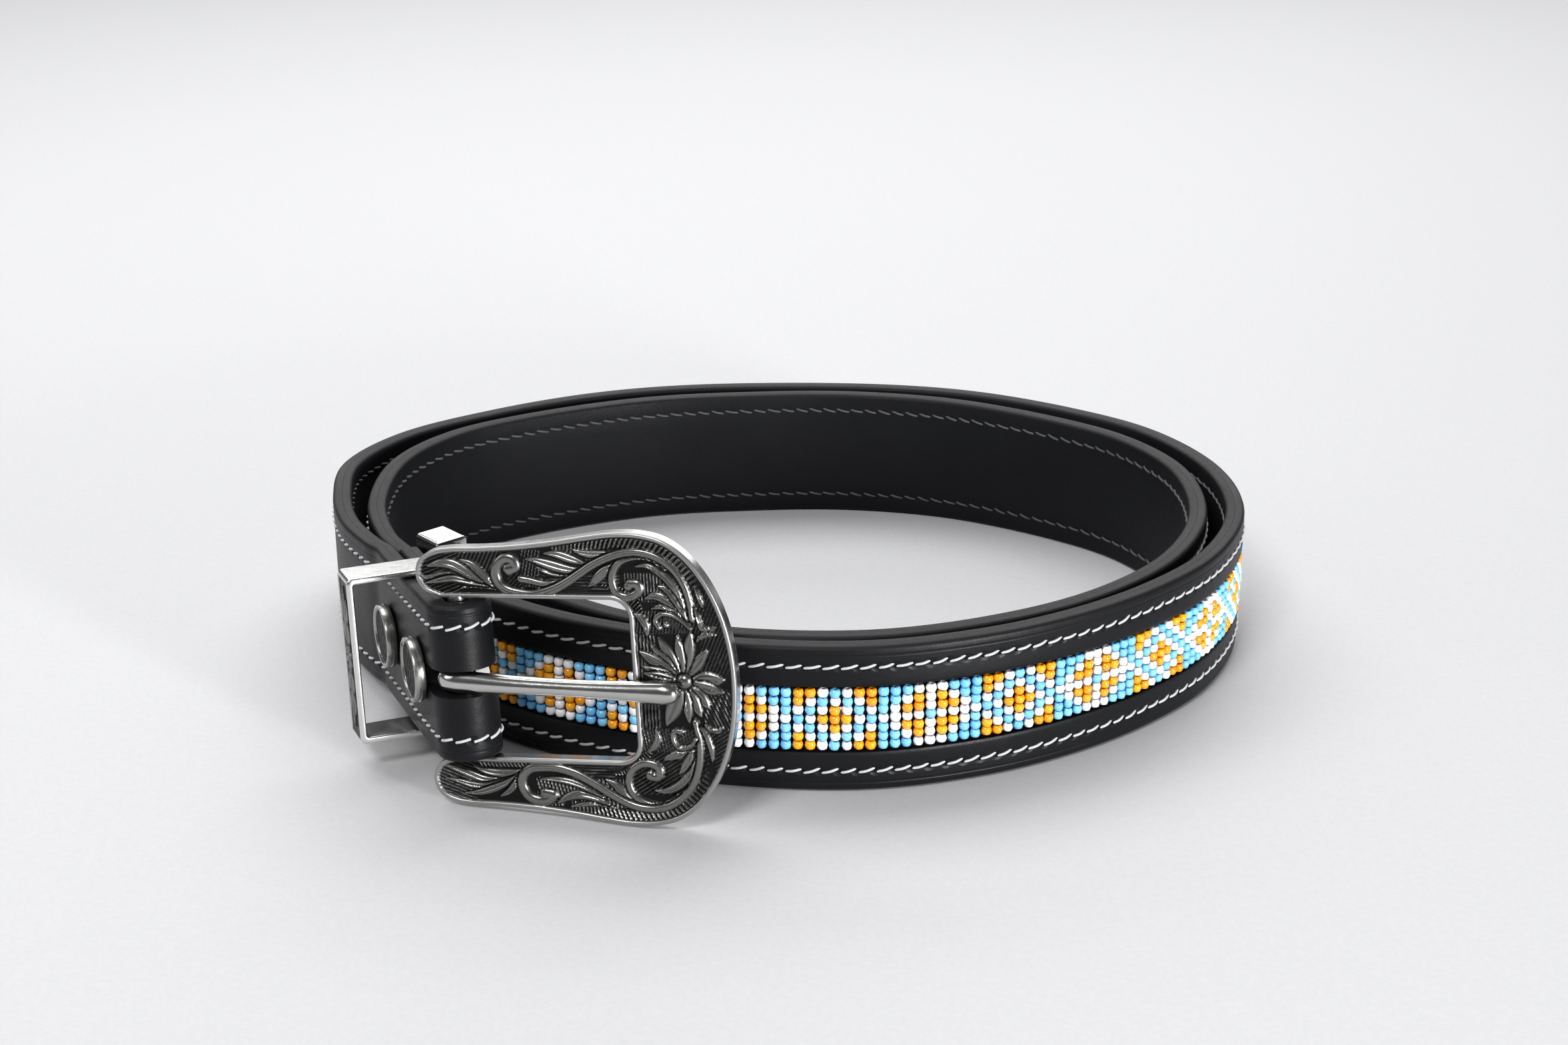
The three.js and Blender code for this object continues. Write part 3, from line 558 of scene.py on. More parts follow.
def outer_profile(s):
    """Across and out of the face ply at each station; its middle is flat where there is no window."""
    wall = -BAND_HALF - WINDOW_PLAY
    edge = -HALF_WIDTH
    across, out = mirrored([
        (edge, SEAM_AT + PLY_SEAM), (edge, -EDGE_ROUND), (edge + 0.12, -0.42), (edge + 0.4, -0.14),
        (edge + EDGE_ROUND, 0), (-CREASE_AT, 0), (-12.2, 0), (STITCH_LOWER - 0.8, 0), (STITCH_LOWER, -0.1),
        (STITCH_LOWER + 0.8, 0), (-8.6, 0.03), (-7.6, 0.08), (wall - 0.35, 0.04), (wall - 0.1, -0.1),
        (wall, BAND_FLOOR), (wall + 0.1, BAND_FLOOR), (-3, BAND_FLOOR),
    ])
    inside = between(s, band_start - WINDOW_FADE, band_end + WINDOW_FADE, WINDOW_FADE)
    return across, out * np.where(np.abs(across) < WINDOW_ROWS_WITHIN, inside[:, None], 1)


def ply_piece(name, across, out, material):
    """The section at every station, as rings of points."""
    point, up, normal = (stations[key][:, None, :] for key in ("point", "up", "out"))
    out = np.broadcast_to(out, (len(stations["s"]), len(across)))
    rings = point + up * across[None, :, None] + normal * out[:, :, None]
    along = stations["reach"][:, None] - FOLD_REACH
    uv = np.stack(np.broadcast_arrays(along, across[None, :]), axis=2).reshape(-1, 2)
    return put_right(tube_piece(name, rings, material, uv, PLY_SHARP))


face_ply = ply_piece("face_ply", *outer_profile(stations["s"]), leather_face())

# %% The lining ply
across, depth = mirrored([
    (-HALF_WIDTH, 0), (-HALF_WIDTH, 1.2), (-HALF_WIDTH + 0.12, 1.55), (-HALF_WIDTH + 0.4, 1.85),
    (-HALF_WIDTH + EDGE_ROUND, 1.95), (-12, 1.95), (-STITCH_UPPER - 0.7, 1.95), (-STITCH_UPPER, 1.85),
    (-STITCH_UPPER + 0.7, 1.95), (-8, 1.95), (0, 1.95),
], 1)
lining_ply = ply_piece("lining_ply", across, SEAM_AT - depth, leather_lining())
print("ply faces:", len(face_ply.data.polygons), len(lining_ply.data.polygons))

# %% [markdown]
# Holes are cut afterwards with the Boolean modifier: seven for the prong near the tip, and the slot in
# the fold where the prong's loop goes round the bar.

# %% Cutters
HOLE_COUNT = 7
HOLE_PITCH = 25
FIRST_HOLE_FROM_TIP = 75
HOLE_RADIUS = 2.0
HOLE_SIDES = 24
HOLE_DEPTHS = (3.0, -7.0)
PRONG_ROOT = 2.9
PRONG_ROOT_WIDTH = 4.0
SLOT_HALF = PRONG_ROOT_WIDTH / 2 + 0.6
SLOT_BACK = LOOP_INNER + PRONG_ROOT + 0.6
SLOT_AHEAD = LOOP_INNER + 2 * STRAP_THICKNESS
SLOT_DEPTH = 12.0
SLOT_SIDES = 32
SLOT_CORNERS = 0.35


def hole_cutter(s):
    centre, along, up, out = station(s)
    ring = ring_round(along, up, HOLE_SIDES) * HOLE_RADIUS
    return np.stack([centre + out * depth + ring for depth in HOLE_DEPTHS])


def slot_cutter():
    """A box with rounded corners, right through the fold from behind the bar to ahead of it."""
    across = np.cross(AHEAD, BAR_UP)
    middle = BAR + AHEAD * (SLOT_AHEAD - SLOT_BACK) / 2
    half = (SLOT_AHEAD + SLOT_BACK) / 2
    corners = []
    for turn in round_turns(SLOT_SIDES):
        x = abs(math.cos(turn)) ** SLOT_CORNERS * math.copysign(half, math.cos(turn))
        y = abs(math.sin(turn)) ** SLOT_CORNERS * math.copysign(SLOT_HALF, math.sin(turn))
        corners.append(AHEAD * x + BAR_UP * y)
    return np.stack([middle + across * depth + np.array(corners) for depth in (SLOT_DEPTH, -SLOT_DEPTH)])


def cut(piece, cutters):
    for number, rings in enumerate(cutters):
        tool = put_right(tube_piece(f"cutter_{number}", rings, piece.data.materials[0]))
        modifier = piece.modifiers.new("cut", "BOOLEAN")
        modifier.object = tool
        modifier.solver = "EXACT"
        bpy.context.view_layer.objects.active = piece
        bpy.ops.object.modifier_apply(modifier=modifier.name)
        bpy.data.objects.remove(tool)
    piece.data.shade_smooth()
    piece.data.set_sharp_from_angle(angle=math.radians(PLY_SHARP))


holes = [hole_cutter(STRAP_LENGTH - FIRST_HOLE_FROM_TIP - k * HOLE_PITCH) for k in range(HOLE_COUNT)]
for ply in (face_ply, lining_ply):
    cut(ply, [slot_cutter(), *holes])
print("faces after the cuts:", len(face_ply.data.polygons), len(lining_ply.data.polygons))

# %% [markdown]
# ## Geometry Nodes for what repeats
# Beads and stitches are one small shape each, set on many points. The points carry their own turn and a
# tone. The tree draws the shape, puts it on the points, makes it real and gives it its material.

# %% A tree that sets one shape on many points
def point_vector(tree, label):
    """A vector that each point carries."""
    settings = {"data_type": "FLOAT_VECTOR"}
    return add_node(tree, "GeometryNodeInputNamedAttribute", settings, {"Name": label}).outputs["Attribute"]


def repeat_tree(name, draw_shape, sizes):
    tree = bpy.data.node_groups.new(name, "GeometryNodeTree")
    sizes_in = [(label, "INPUT", "Float") for label in sizes]
    for label, side, kind in (("Points", "INPUT", "Geometry"), *sizes_in, ("Finish", "INPUT", "Material"),
                              ("Result", "OUTPUT", "Geometry")):
        socket = tree.interface.new_socket(label, in_out=side, socket_type="NodeSocket" + kind)
        if label in sizes:
            socket.default_value = sizes[label]
    given = add_node(tree, "NodeGroupInput").outputs
    rotation = add_node(tree, "FunctionNodeEulerToRotation", None, {0: point_vector(tree, "turn")})
    place = add_node(tree, "GeometryNodeInstanceOnPoints", None, {
        "Points": given["Points"], "Instance": draw_shape(tree, given).outputs[0],
        "Rotation": rotation.outputs[0], "Scale": point_vector(tree, "size")})
    real = add_node(tree, "GeometryNodeRealizeInstances", None, {0: place.outputs[0]})
    finish = add_node(tree, "GeometryNodeSetMaterial", None, {
        "Geometry": real.outputs[0], "Material": given["Finish"]})
    add_node(tree, "NodeGroupOutput", None, {0: finish.outputs[0]})
    return tree


def repeated(name, tree, inputs, places, material):
    """The tree's shape on every place: a point, its x and z axes, a size along each axis, and a tone."""
    points, x_axes, z_axes, sizes, tones = zip(*places)
    turns = [Matrix((x, np.cross(z, x), z)).transposed().to_euler() for x, z in zip(x_axes, z_axes)]
    mesh = bpy.data.meshes.new(name + "_points")
    mesh.from_pydata((np.asarray(points) * MM).tolist(), [], [])
    give_attribute(mesh, "turn", turns)
    give_attribute(mesh, "size", sizes)
    give_attribute(mesh, "tone", tones)
    source = added(name + "_points", mesh)
    modifier = source.modifiers.new("repeat", "NODES")
    modifier.node_group = tree
    for item in tree.interface.items_tree:
        if item.name == "Finish":
            modifier[item.identifier] = material
        elif item.name in inputs:
            modifier[item.identifier] = inputs[item.name]
    depsgraph = bpy.context.evaluated_depsgraph_get()
    made = bpy.data.meshes.new_from_object(source.evaluated_get(depsgraph), depsgraph=depsgraph)
    source.modifiers.clear()
    bpy.data.objects.remove(source)
    made.shade_smooth()
    print(name, "points:", len(points), "faces:", len(made.polygons))
    return added(name, made)


# %% [markdown]
# ## Beads
# Seed beads are short glass rings. They lie in seven rows with their holes across the strap, because the
# thread runs that way. Sixteen columns make the diamond pattern, which then repeats.

# %% The bead tree
BEAD_RING = 0.58
BEAD_WALL = 0.5
BEAD_HALF_LENGTH = 0.88
BEAD_SIDES = 11
WALL_SIDES = 7


def draw_bead(tree, given):
    """A ring whose section is an ellipse, as long as the bead."""
    circle = "GeometryNodeCurvePrimitiveCircle"
    ring = add_node(tree, circle, None, {"Resolution": BEAD_SIDES, "Radius": given["Ring"]})
    wall = add_node(tree, circle, None, {"Resolution": WALL_SIDES, "Radius": 1.0})
    stretch = add_node(tree, "ShaderNodeCombineXYZ", None, {0: given["Wall"], 1: given["Half length"], 2: 1})
    section = add_node(tree, "GeometryNodeTransform", None, {
        "Geometry": wall.outputs[0], "Scale": stretch.outputs[0]})
    return add_node(tree, "GeometryNodeCurveToMesh", None, {
        "Curve": ring.outputs[0], "Profile Curve": section.outputs[0]})


bead_sizes = {"Ring": BEAD_RING * MM, "Wall": BEAD_WALL * MM, "Half length": BEAD_HALF_LENGTH * MM}
bead_tree = repeat_tree("seed bead", draw_bead, bead_sizes)

# %% The bead chart, column by column from the top row down
BEAD_PITCH = 2.33
BEAD_DEPTH = -0.7
CHART_ORIGIN = 516.7
BAND_END_ROOM = 1.3
BEAD_SHIFT = 0.045
BEAD_LEAN = 0.05
BEAD_SIZES = (0.94, 1.04)
CHART = [
    "OOWBWOO", "OWBWBWO", "WBWOWBW", "BWOOOWB", "WBWOWBW", "OWBWBWO", "OOWBWOO", "BBBWBBB",
    "BBWWWBB", "BWOWOWB", "WOOWOOW", "WWWBWWW", "WOOWOOW", "BWOWOWB", "BBWWWBB", "BBBWBBB",
]
COLOURS = {
    "O": ("orange_beads", (0.8, 0.27, 0.002), (0.97, 0.41, 0.004)),
    "W": ("white_beads", (0.8, 0.81, 0.85), (0.95, 0.95, 0.97)),
    "B": ("blue_beads", (0.14, 0.47, 0.83), (0.23, 0.62, 0.95)),
}


def bead_places():
    first = math.ceil((CHART_ORIGIN - band_end + BAND_END_ROOM) / BEAD_PITCH)
    last = math.floor((CHART_ORIGIN - band_start - BAND_END_ROOM) / BEAD_PITCH)
    random = np.random.default_rng(7)
    found = {letter: [] for letter in COLOURS}
    for column in range(first, last + 1):
        centre, along, up, out = station(CHART_ORIGIN - column * BEAD_PITCH)
        for row, letter in enumerate(CHART[column % len(CHART)]):
            across = ((BEAD_ROWS - 1) / 2 - row) * BEAD_ROW_PITCH
            shift = random.normal(0, BEAD_SHIFT, 3)
            point = centre + out * (BEAD_DEPTH + shift[0]) + up * (across + shift[1]) + along * shift[2]
            lean = random.normal(0, BEAD_LEAN, 2)
            axis = unit(up + out * lean[0] + along * lean[1])
            side = unit(np.cross(axis, out))
            size = random.uniform(*BEAD_SIZES, 3)
            found[letter].append((point, side, axis, size, random.random()))
    return found


bead_pieces = []
for letter, group in bead_places().items():
    name, deep, bright = COLOURS[letter]
    finish = bead_finish(name.replace("_", " "), deep, bright)
    bead_pieces.append(repeated(name, bead_tree, bead_sizes, group, finish))

# %% [markdown]
# ## Stitches
# Thick pale thread runs along both edges, through both plies. Each stitch dips into its needle holes and
# slants a little. The same stitches show on the lining side, between the holes.

# %% The stitch tree
THREAD_RADIUS = 0.27
THREAD_SIDES = 7
STITCH_STEPS = 6
STITCH_DIP = -0.3
STITCH_PULL = 0.6


def draw_stitch(tree, given):
    """A round thread on an arc that dips at both ends."""
    half = STITCH_LENGTH / 2 * MM
    path = add_node(tree, "GeometryNodeCurveQuadraticBezier", None, {
        "Resolution": STITCH_STEPS, "Start": (-half, 0, STITCH_DIP * MM), "Middle": (0, 0, STITCH_PULL * MM),
        "End": (half, 0, STITCH_DIP * MM)})
    thread = add_node(tree, "GeometryNodeCurvePrimitiveCircle", None, {
        "Resolution": THREAD_SIDES, "Radius": given["Thread radius"]})
    return add_node(tree, "GeometryNodeCurveToMesh", None, {
        "Curve": path.outputs[0], "Profile Curve": thread.outputs[0], "Fill Caps": True})


stitch_sizes = {"Thread radius": THREAD_RADIUS * MM}
stitch_tree = repeat_tree("stitch", draw_stitch, stitch_sizes)


# %% Stitch places
SLANT = -0.24
SLANT_SPREAD = 0.04
LENGTH_SPREAD = (0.92, 1.06)
HEIGHT_SPREAD = (0.9, 1.05)
STITCHES_END = 10
LINING_STITCHES_START = 4


def stitches(reaches, level, flip):
    """Places on the outer face (flip 1) or the lining (flip -1) at these lengths along the leather."""
    random = np.random.default_rng(3)
    point, up, out = ([np.interp(reaches, stations["reach"], column) for column in stations[key].T]
                      for key in ("point", "up", "out"))
    point, up, out = np.array(point).T, units(np.array(up).T), units(np.array(out).T)
    made = []
    for offset in (STITCH_UPPER, STITCH_LOWER):
        for p, u, o in zip(point, up, out):
            x = unit(np.cross(o, u) + u * (SLANT + random.normal(0, SLANT_SPREAD)))
            size = (random.uniform(*LENGTH_SPREAD), 1, random.uniform(*HEIGHT_SPREAD))
            made.append((p + u * offset + o * level, x, o * flip, size, random.random()))
    return made


end_reach = stations["reach"][-1] - TIP_POCKET - STITCHES_END
outer_places = np.arange(-FOLD_REACH // STITCH_PITCH + 2, (end_reach - FOLD_REACH) // STITCH_PITCH)
outer_reaches = FOLD_REACH + outer_places * STITCH_PITCH
lining_start = FOLD_REACH + FOLD_BACK + LINING_STITCHES_START
lining_reaches = outer_reaches[outer_reaches > lining_start] + STITCH_PITCH / 2
thread_pieces = []
for name, made, dark, light in (
        ("stitching", stitches(outer_reaches, 0.02, 1), (0.3, 0.305, 0.315), (0.66, 0.67, 0.69)),
        ("lining_stitching", stitches(lining_reaches, -STRAP_THICKNESS, -1), (0.03, 0.03, 0.033),
         (0.1, 0.1, 0.105))):
    finish = thread_finish(name.replace("_", " "), dark, light)
    thread_pieces.append(repeated(name, stitch_tree, stitch_sizes, made, finish))

# %% [markdown]
# ## Relief
# The cast ornament is a height over the frame's face. Each leaf or scroll is a rounded ridge along a
# short curve, with a groove down its middle. A new stroke covers what lies under it, and a dark line is
# left all round it.

# %% Ridges
OUTLINE_GAP = 0.32
OUTLINE_DEPTH = 0.9
STEM_TAPER = 0.35
VEIN_WIDTH = 0.22
LEAF_VEIN = 0.35
STROKE_SAMPLES = 8


def nearest_on(places, line):
    """How far each place is from a line of points, and which share of the line is nearest to it."""
    reach = lengths_along(line)
    share = reach / reach[-1]
    best = np.full(len(places), 1e9)
    at = np.zeros(len(places))
    for k in range(len(line) - 1):
        step = line[k + 1] - line[k]
        t = np.clip((places - line[k]) @ step / max(step @ step, 1e-12), 0, 1)
        distance = np.linalg.norm(places - line[k] - t[:, None] * step, axis=1)
        closer = distance < best
        best[closer] = distance[closer]
        at[closer] = (share[k] + (share[k + 1] - share[k]) * t)[closer]
    return best, at


def ridge(u, v, half_width, points, stem=False, vein=LEAF_VEIN, height=1.0):
    """Height of one leaf or stem at every (u, v), and a halo that keeps its neighbours clear of it."""
    curve = rounded_through(points, STROKE_SAMPLES)
    low = curve.min(axis=0) - half_width - OUTLINE_GAP
    high = curve.max(axis=0) + half_width + OUTLINE_GAP
    near = (u > low[0]) & (u < high[0]) & (v > low[1]) & (v < high[1])
    best, at = nearest_on(np.stack([u[near], v[near]], axis=1), curve)
    swell = 1 - STEM_TAPER * at if stem else np.sin(np.pi * (0.04 + 0.92 * at)) ** 0.75
    width = half_width * swell
    x = best / width
    body = np.sqrt(np.clip(1 - x**2, 0, 1)) * (1 if stem else 0.8 + 0.2 * swell)
    groove = vein * np.exp(-((x / VEIN_WIDTH) ** 2)) * smooth(at, 0.02, 0.2) * (1 - smooth(at, 0.75, 1.0))
    result, halo = np.zeros(u.shape), np.zeros(u.shape)
    result[near] = height * np.clip(body - groove, 0, 1)
    halo[near] = 1 - smooth(best - width, 0, OUTLINE_GAP)
    return result, halo


def laid_over(height, stroke):
    """A new stroke on top of what is there, with a dark line left round it."""
    body, halo = stroke
    return np.maximum(height * (1 - OUTLINE_DEPTH * halo), body)


def dome(u, v, centre, radius, height=1.0):
    distance = np.hypot(u - centre[0], v - centre[1]) / radius
    return height * np.sqrt(np.clip(1 - distance**2, 0, 1))


# %% [markdown]
# ## Buckle frame
# The frame is a flat casting, open towards the strap. Its face is a grid stretched between the window's
# edge and the outer edge, so the polished rims follow both edges exactly.

# %% Named sizes of the buckle
FRAME_THICKNESS = 2.8
FRAME_REACH = 52.8
ARM_INNER = HALF_WIDTH + 0.4
FRAME_HALF = ARM_INNER + 12.6
WINDOW_REACH = 33.3
WINDOW_CORNER = 3.5
BAR_RADIUS = 1.8
RIM_WIDTH = 1.0
RIM_CROWN = 0.5
FACE_RIM_SHINE = 0.42
RELIEF_HEIGHT = 0.76
FRAME_ROUND = 0.3
BUCKLE_SWING = 54.9
OUTLINE = [
    (-0.055, 0.55), (-0.115, 0.605), (-0.14, 0.7), (-0.125, 0.807), (-0.081, 0.865), (-0.019, 0.891),
    (0.095, 0.898), (0.227, 0.913), (0.379, 0.945), (0.492, 0.978), (0.587, 1.0), (0.682, 0.996),
    (0.767, 0.953), (0.843, 0.851), (0.909, 0.691), (0.958, 0.495), (0.989, 0.269),
]
OUTLINE_SAMPLES = 24
END_KNOT, CORNER_KNOT, BEND_KNOT, FLOWER_KNOT = 4, 10, 13, 17
STRETCH_ROWS = (190, 56, 76)
CORNER_STEPS = 12

# %% Leaves and stems: kind, half-width, then points (along the frame, across it) in millimetres
SCROLLS = [
    ("leaf", 0.7, (-7, 20.1), (-5.5, 19.4), (-3.5, 19.5), (-1, 19.9), (2, 19.5), (4.5, 18.9)),
    ("leaf", 0.6, (1.2, 17.2), (3.5, 17.9), (6, 17.8), (8.8, 17.2)),
    ("leaf", 0.8, (-5.4, 18.3), (-3, 18.7), (0, 19.1), (3.5, 18.5), (6.5, 17.8)),
    ("leaf", 0.95, (1.7, 22.8), (3.6, 22), (5.2, 20.5), (6.8, 18.9), (8.6, 17.4)),
    ("leaf", 1.1, (-4.7, 21.5), (-2.5, 22), (-0.2, 21.9), (2, 20.8), (4, 19.5), (5.6, 18.6)),
    ("leaf", 0.7, (16.2, 21.7), (18, 20.8), (21, 20.3), (24, 20.7)),
    ("leaf", 1.0, (14.5, 23), (16.5, 22.7), (19.5, 21.8), (22.5, 21.1), (25.5, 21.1)),
    ("leaf", 0.9, (18.1, 24.1), (20.5, 23.9), (23, 23.1), (26, 22.2)),
    ("leaf", 0.6, (25.4, 23.9), (26.5, 23.1), (27.4, 22.7)),
    ("leaf", 0.8, (23.6, 24.9), (25, 24.3), (27, 24), (31, 24.3)),
    ("stem", 0.75, (13.2, 19.2), (15, 18.9), (17.5, 18.4), (20.5, 18.6), (23.5, 19.9), (25.2, 20.8)),
    ("leaf", 1.0, (26.2, 18), (27.4, 19), (29, 20.5), (31.2, 22.1)),
    ("leaf", 0.85, (37.8, 13.9), (40, 14.3), (43, 12.3), (44.8, 9.8)),
    ("leaf", 0.95, (36.7, 15.8), (38.8, 16.3), (41, 15.3), (43, 13.6)),
    ("leaf", 0.85, (39.2, 18.3), (41, 17.4), (43, 14.6), (44.2, 12)),
    ("leaf", 0.8, (35.2, 21.8), (37.5, 21.9), (40.5, 20), (42.8, 17), (44, 14)),
    ("stem", 0.9, (34, 18.5), (35.4, 18.4), (35.6, 17.2), (34.6, 16.3), (33, 16), (31.3, 16.8), (30.6, 18.8),
     (31.1, 21), (32.6, 22.7), (35, 23.5), (38, 23.4), (40.8, 21.6)),
    ("stem", 1.0, (10.8, 21), (12.2, 21.4), (11.8, 22.8), (10.2, 23), (8.8, 21.8), (8.3, 20), (8.8, 18.3),
     (10.3, 17.1), (12.6, 16.5), (15.5, 16.3), (18.5, 17), (21.5, 18.4), (24.5, 20.3), (27, 21.9),
     (30, 23.3), (33, 24.2), (36, 24.4), (39, 23.6), (42, 21.5), (44, 18.5), (45, 15), (45.3, 12)),
    ("stem", 0.55, (38.9, 10.3), (38.3, 11.8), (39.5, 12.9), (41.5, 12.7), (43.5, 11.5), (44.8, 10.2)),
    ("leaf", 0.8, (34.4, 13.1), (35.7, 12), (36.5, 10.5), (36.6, 8.7)),
    ("leaf", 0.6, (46.1, 17.9), (46.9, 16), (47.4, 14.2)),
    ("leaf", 0.55, (45.8, 14.2), (46.4, 12.2), (47, 10.3), (48.5, 10.1), (49.6, 10.4)),
    ("leaf", 0.5, (45.7, 7.6), (46.5, 8.6), (48, 9.2), (49.6, 9)),
    ("leaf", 0.9, (0.9, -17.1), (2.8, -18), (5.5, -18.5), (8, -18.3), (10.4, -17.8)),
    ("leaf", 0.9, (-4.9, -17.2), (-2.5, -17.9), (0, -18.8), (2.5, -19.7), (6, -19.6)),
    ("leaf", 0.75, (-4.8, -19.8), (-2.5, -20.2), (0, -20.9), (3, -21.1), (6, -20.2), (8.2, -19.2)),
    ("leaf", 0.8, (-1.2, -22.6), (1.5, -22.4), (4, -21.7), (7, -20.4), (9.5, -18.6)),
    ("leaf", 0.7, (5.8, -23), (7.5, -22), (9, -20.2), (9.9, -18.6)),
    ("leaf", 0.6, (19.5, -24.6), (22, -24.1), (25, -23.9), (28.5, -24.6)),
    ("leaf", 1.0, (17, -24), (19, -22.8), (22, -22.2), (25, -22.9), (27, -24)),
    ("leaf", 0.75, (13.8, -19.4), (16, -19.3), (19, -19.6), (22, -20.5), (26, -22.6)),
    ("leaf", 0.55, (29.3, -19.4), (31, -21.8), (33.5, -23.5)),
    ("leaf", 0.9, (26.7, -19), (28.5, -20.1), (30, -21.8), (32.5, -23.5)),
    ("leaf", 0.9, (38.3, -14.9), (40.3, -14.1), (42.5, -13.2), (44.2, -11)),
    ("leaf", 0.9, (41, -17.5), (42.2, -16), (43.8, -13)),
    ("leaf", 0.8, (35.9, -20.9), (38, -21), (40.5, -20), (43, -17.5), (44.5, -14.5)),
    ("stem", 0.9, (35.3, -18.2), (36.8, -18.3), (37.2, -16.9), (36, -15.9), (33.8, -15.9), (31.9, -17.2),
     (31.1, -19.5), (32, -22), (34.5, -23.6), (37.5, -23.8), (40.5, -22)),
    ("stem", 1.0, (14.7, -22.2), (16.1, -22.5), (15.3, -23.4), (13.2, -23.7), (11.2, -22.8), (10.2, -20.9),
     (10.5, -18.9), (12, -17.5), (14.5, -17.1), (17.5, -17.2), (21, -18.2), (24.5, -20.1), (28, -22.3),
     (31.5, -24), (35, -24.6), (38.5, -24), (41.5, -22), (43.8, -19), (45, -15), (45.2, -11), (44.6, -7.5)),
    ("stem", 0.55, (42, -9.3), (40.5, -9.4), (40.2, -11), (41.3, -12.6), (43.3, -12.2), (44.6, -10.8)),
    ("leaf", 0.7, (37, -9), (37.3, -10.8), (36.5, -12.4), (35.2, -13.5)),
    ("leaf", 0.6, (47.4, -15), (47.3, -12.5), (46.6, -10.3), (45.5, -8.3)),
    ("leaf", 0.5, (46.3, -7.8), (47.5, -8.9), (48.7, -9.2), (49.8, -8.4)),
]

# %% Round buds (middle, radius) and the flower (half-width, then the petal's tip)
EYES = [
    ((11, 20.9), 1.2), ((33.6, 18), 0.95), ((40.3, 10.8), 0.6), ((14.6, -22.3), 1.2), ((35.4, -17.9), 0.95),
    ((41.6, -9.6), 0.55),
]
HEART = (43.0, 0.2)
HEART_RADIUS = 1.5
HEART_CLEAR = 0.4
HEART_HEIGHT = 1.3
PETAL_START = 0.16
PETAL_SPREAD = 1.15
SCROLL_SPREAD = 1.08
STEM_VEIN = 0.12
PETALS = [
    (1.5, 50.4, 0.7), (1.1, 50, -1.7), (1.0, 47.6, 6.1), (1.1, 44.8, 9.6), (0.9, 42.2, 8.8),
    (1.0, 38.7, 8.4), (0.8, 37.2, 6.9), (1.1, 35, 5.8), (0.9, 35.4, 2.9), (0.9, 35.5, 1.6),
    (1.2, 47.4, -4.6), (1.0, 45.8, -6.4), (0.9, 43.5, -7.6), (1.4, 39.2, -8.1), (1.2, 35.6, -3.4),
]

# %% Hatching of the ground: a patch's range along and across, direction in degrees, spacing
HATCHING = [
    (1, 9.5, 20.5, 24.6, 62, 0.7), (10.4, 13.4, 17, 20.2, 45, 0.6), (13.4, 17, 17.5, 24.6, 76, 0.62),
    (32.5, 40, 15, 20.5, 90, 0.6), (1.5, 12.5, -17.4, -15.6, -60, 0.65), (19, 30, -19, -15.6, 0, 0.6),
    (46.2, 51.5, -9, -1, -65, 0.65), (46.2, 51.5, 1.5, 9.5, 65, 0.65), (34, 44, 9, 13.5, 80, 0.6),
    (34, 44, -13.5, -9, -80, 0.6), (-7.5, 1, 16, 24, 20, 0.65), (-7.5, 1, -24, -15.6, -20, 0.65),
    (16, 32, 15.6, 20, 0, 0.6), (13, 31, -24.8, -19, -76, 0.66), (40, 52, 9.3, 20, 66, 0.65),
    (31, 52, -22, -9, 32, 0.65), (33.9, 38, -9, 9, 90, 0.65),
]
HATCH_SOFT = 0.2
HATCH_HEIGHT = 0.42
TICK_CENTRE = 20
TICK_CIRCLE = 26
TICK_PITCH = 0.75
TICK_LENGTH = 1.8
TICK_HEIGHT = 0.6
TICKS_ALONG = (19.5, 46.5, 1.5)
TICKS_BEYOND = 12

# %% The frame's axes and edges
swing = math.radians(BUCKLE_SWING)
BUCKLE_U = AHEAD * math.cos(swing) + SIDE * math.sin(swing)
BUCKLE_OUT = np.cross(BUCKLE_U, BAR_UP)


def on_buckle(u, v, n):
    u, v, n = np.broadcast_arrays(u, v, n)
    return BAR + u[..., None] * BUCKLE_U + v[..., None] * BAR_UP + n[..., None] * BUCKLE_OUT


def frame_edges():
    """Matched points of the window's edge and the outer edge, and the rounded arm end."""
    upper = [(u * FRAME_REACH, v * FRAME_HALF) for u, v in OUTLINE]
    upper[0] = (upper[0][0], ARM_INNER)
    lower = [(u, -v) for u, v in reversed(upper)]
    edge = rounded_through([*upper, (FRAME_REACH, 0), *lower], OUTLINE_SAMPLES)
    knots = [knot * OUTLINE_SAMPLES for knot in (END_KNOT, CORNER_KNOT, BEND_KNOT, FLOWER_KNOT)]
    turns = np.linspace(0, np.pi / 2, CORNER_STEPS)
    corner = np.stack([WINDOW_REACH - WINDOW_CORNER * (1 - np.sin(turns)),
                       ARM_INNER - WINDOW_CORNER * (1 - np.cos(turns))], axis=1)
    inner = [np.array([edge[0], corner[0]]), corner, np.array([corner[-1], [WINDOW_REACH, 0]])]
    inner_rows, outer_rows = [], []
    for k, count in enumerate(STRETCH_ROWS):
        outer = edge[knots[k]:knots[k + 1] + 1]
        for rows, line in ((inner_rows, inner[k]), (outer_rows, outer)):
            places = np.linspace(0, lengths_along(line)[-1], count + 1)
            rows.append(resampled(line, places)[(1 if k else 0):])
    return np.vstack(inner_rows), np.vstack(outer_rows), edge[:knots[0] + 1]


inner_edge, outer_edge, arm_end = frame_edges()
print("rows along the frame:", len(inner_edge))


# %% The frame's face grid
EDGE_STEPS = [0, 0.03, 0.09, 0.18, 0.3, 0.44, 0.6, 0.78, 0.94, 1.06, 1.15, 1.22, 1.3]
MIDDLE_STEPS = 74
END_ROWS = 7
END_BENDS_OVER = 9


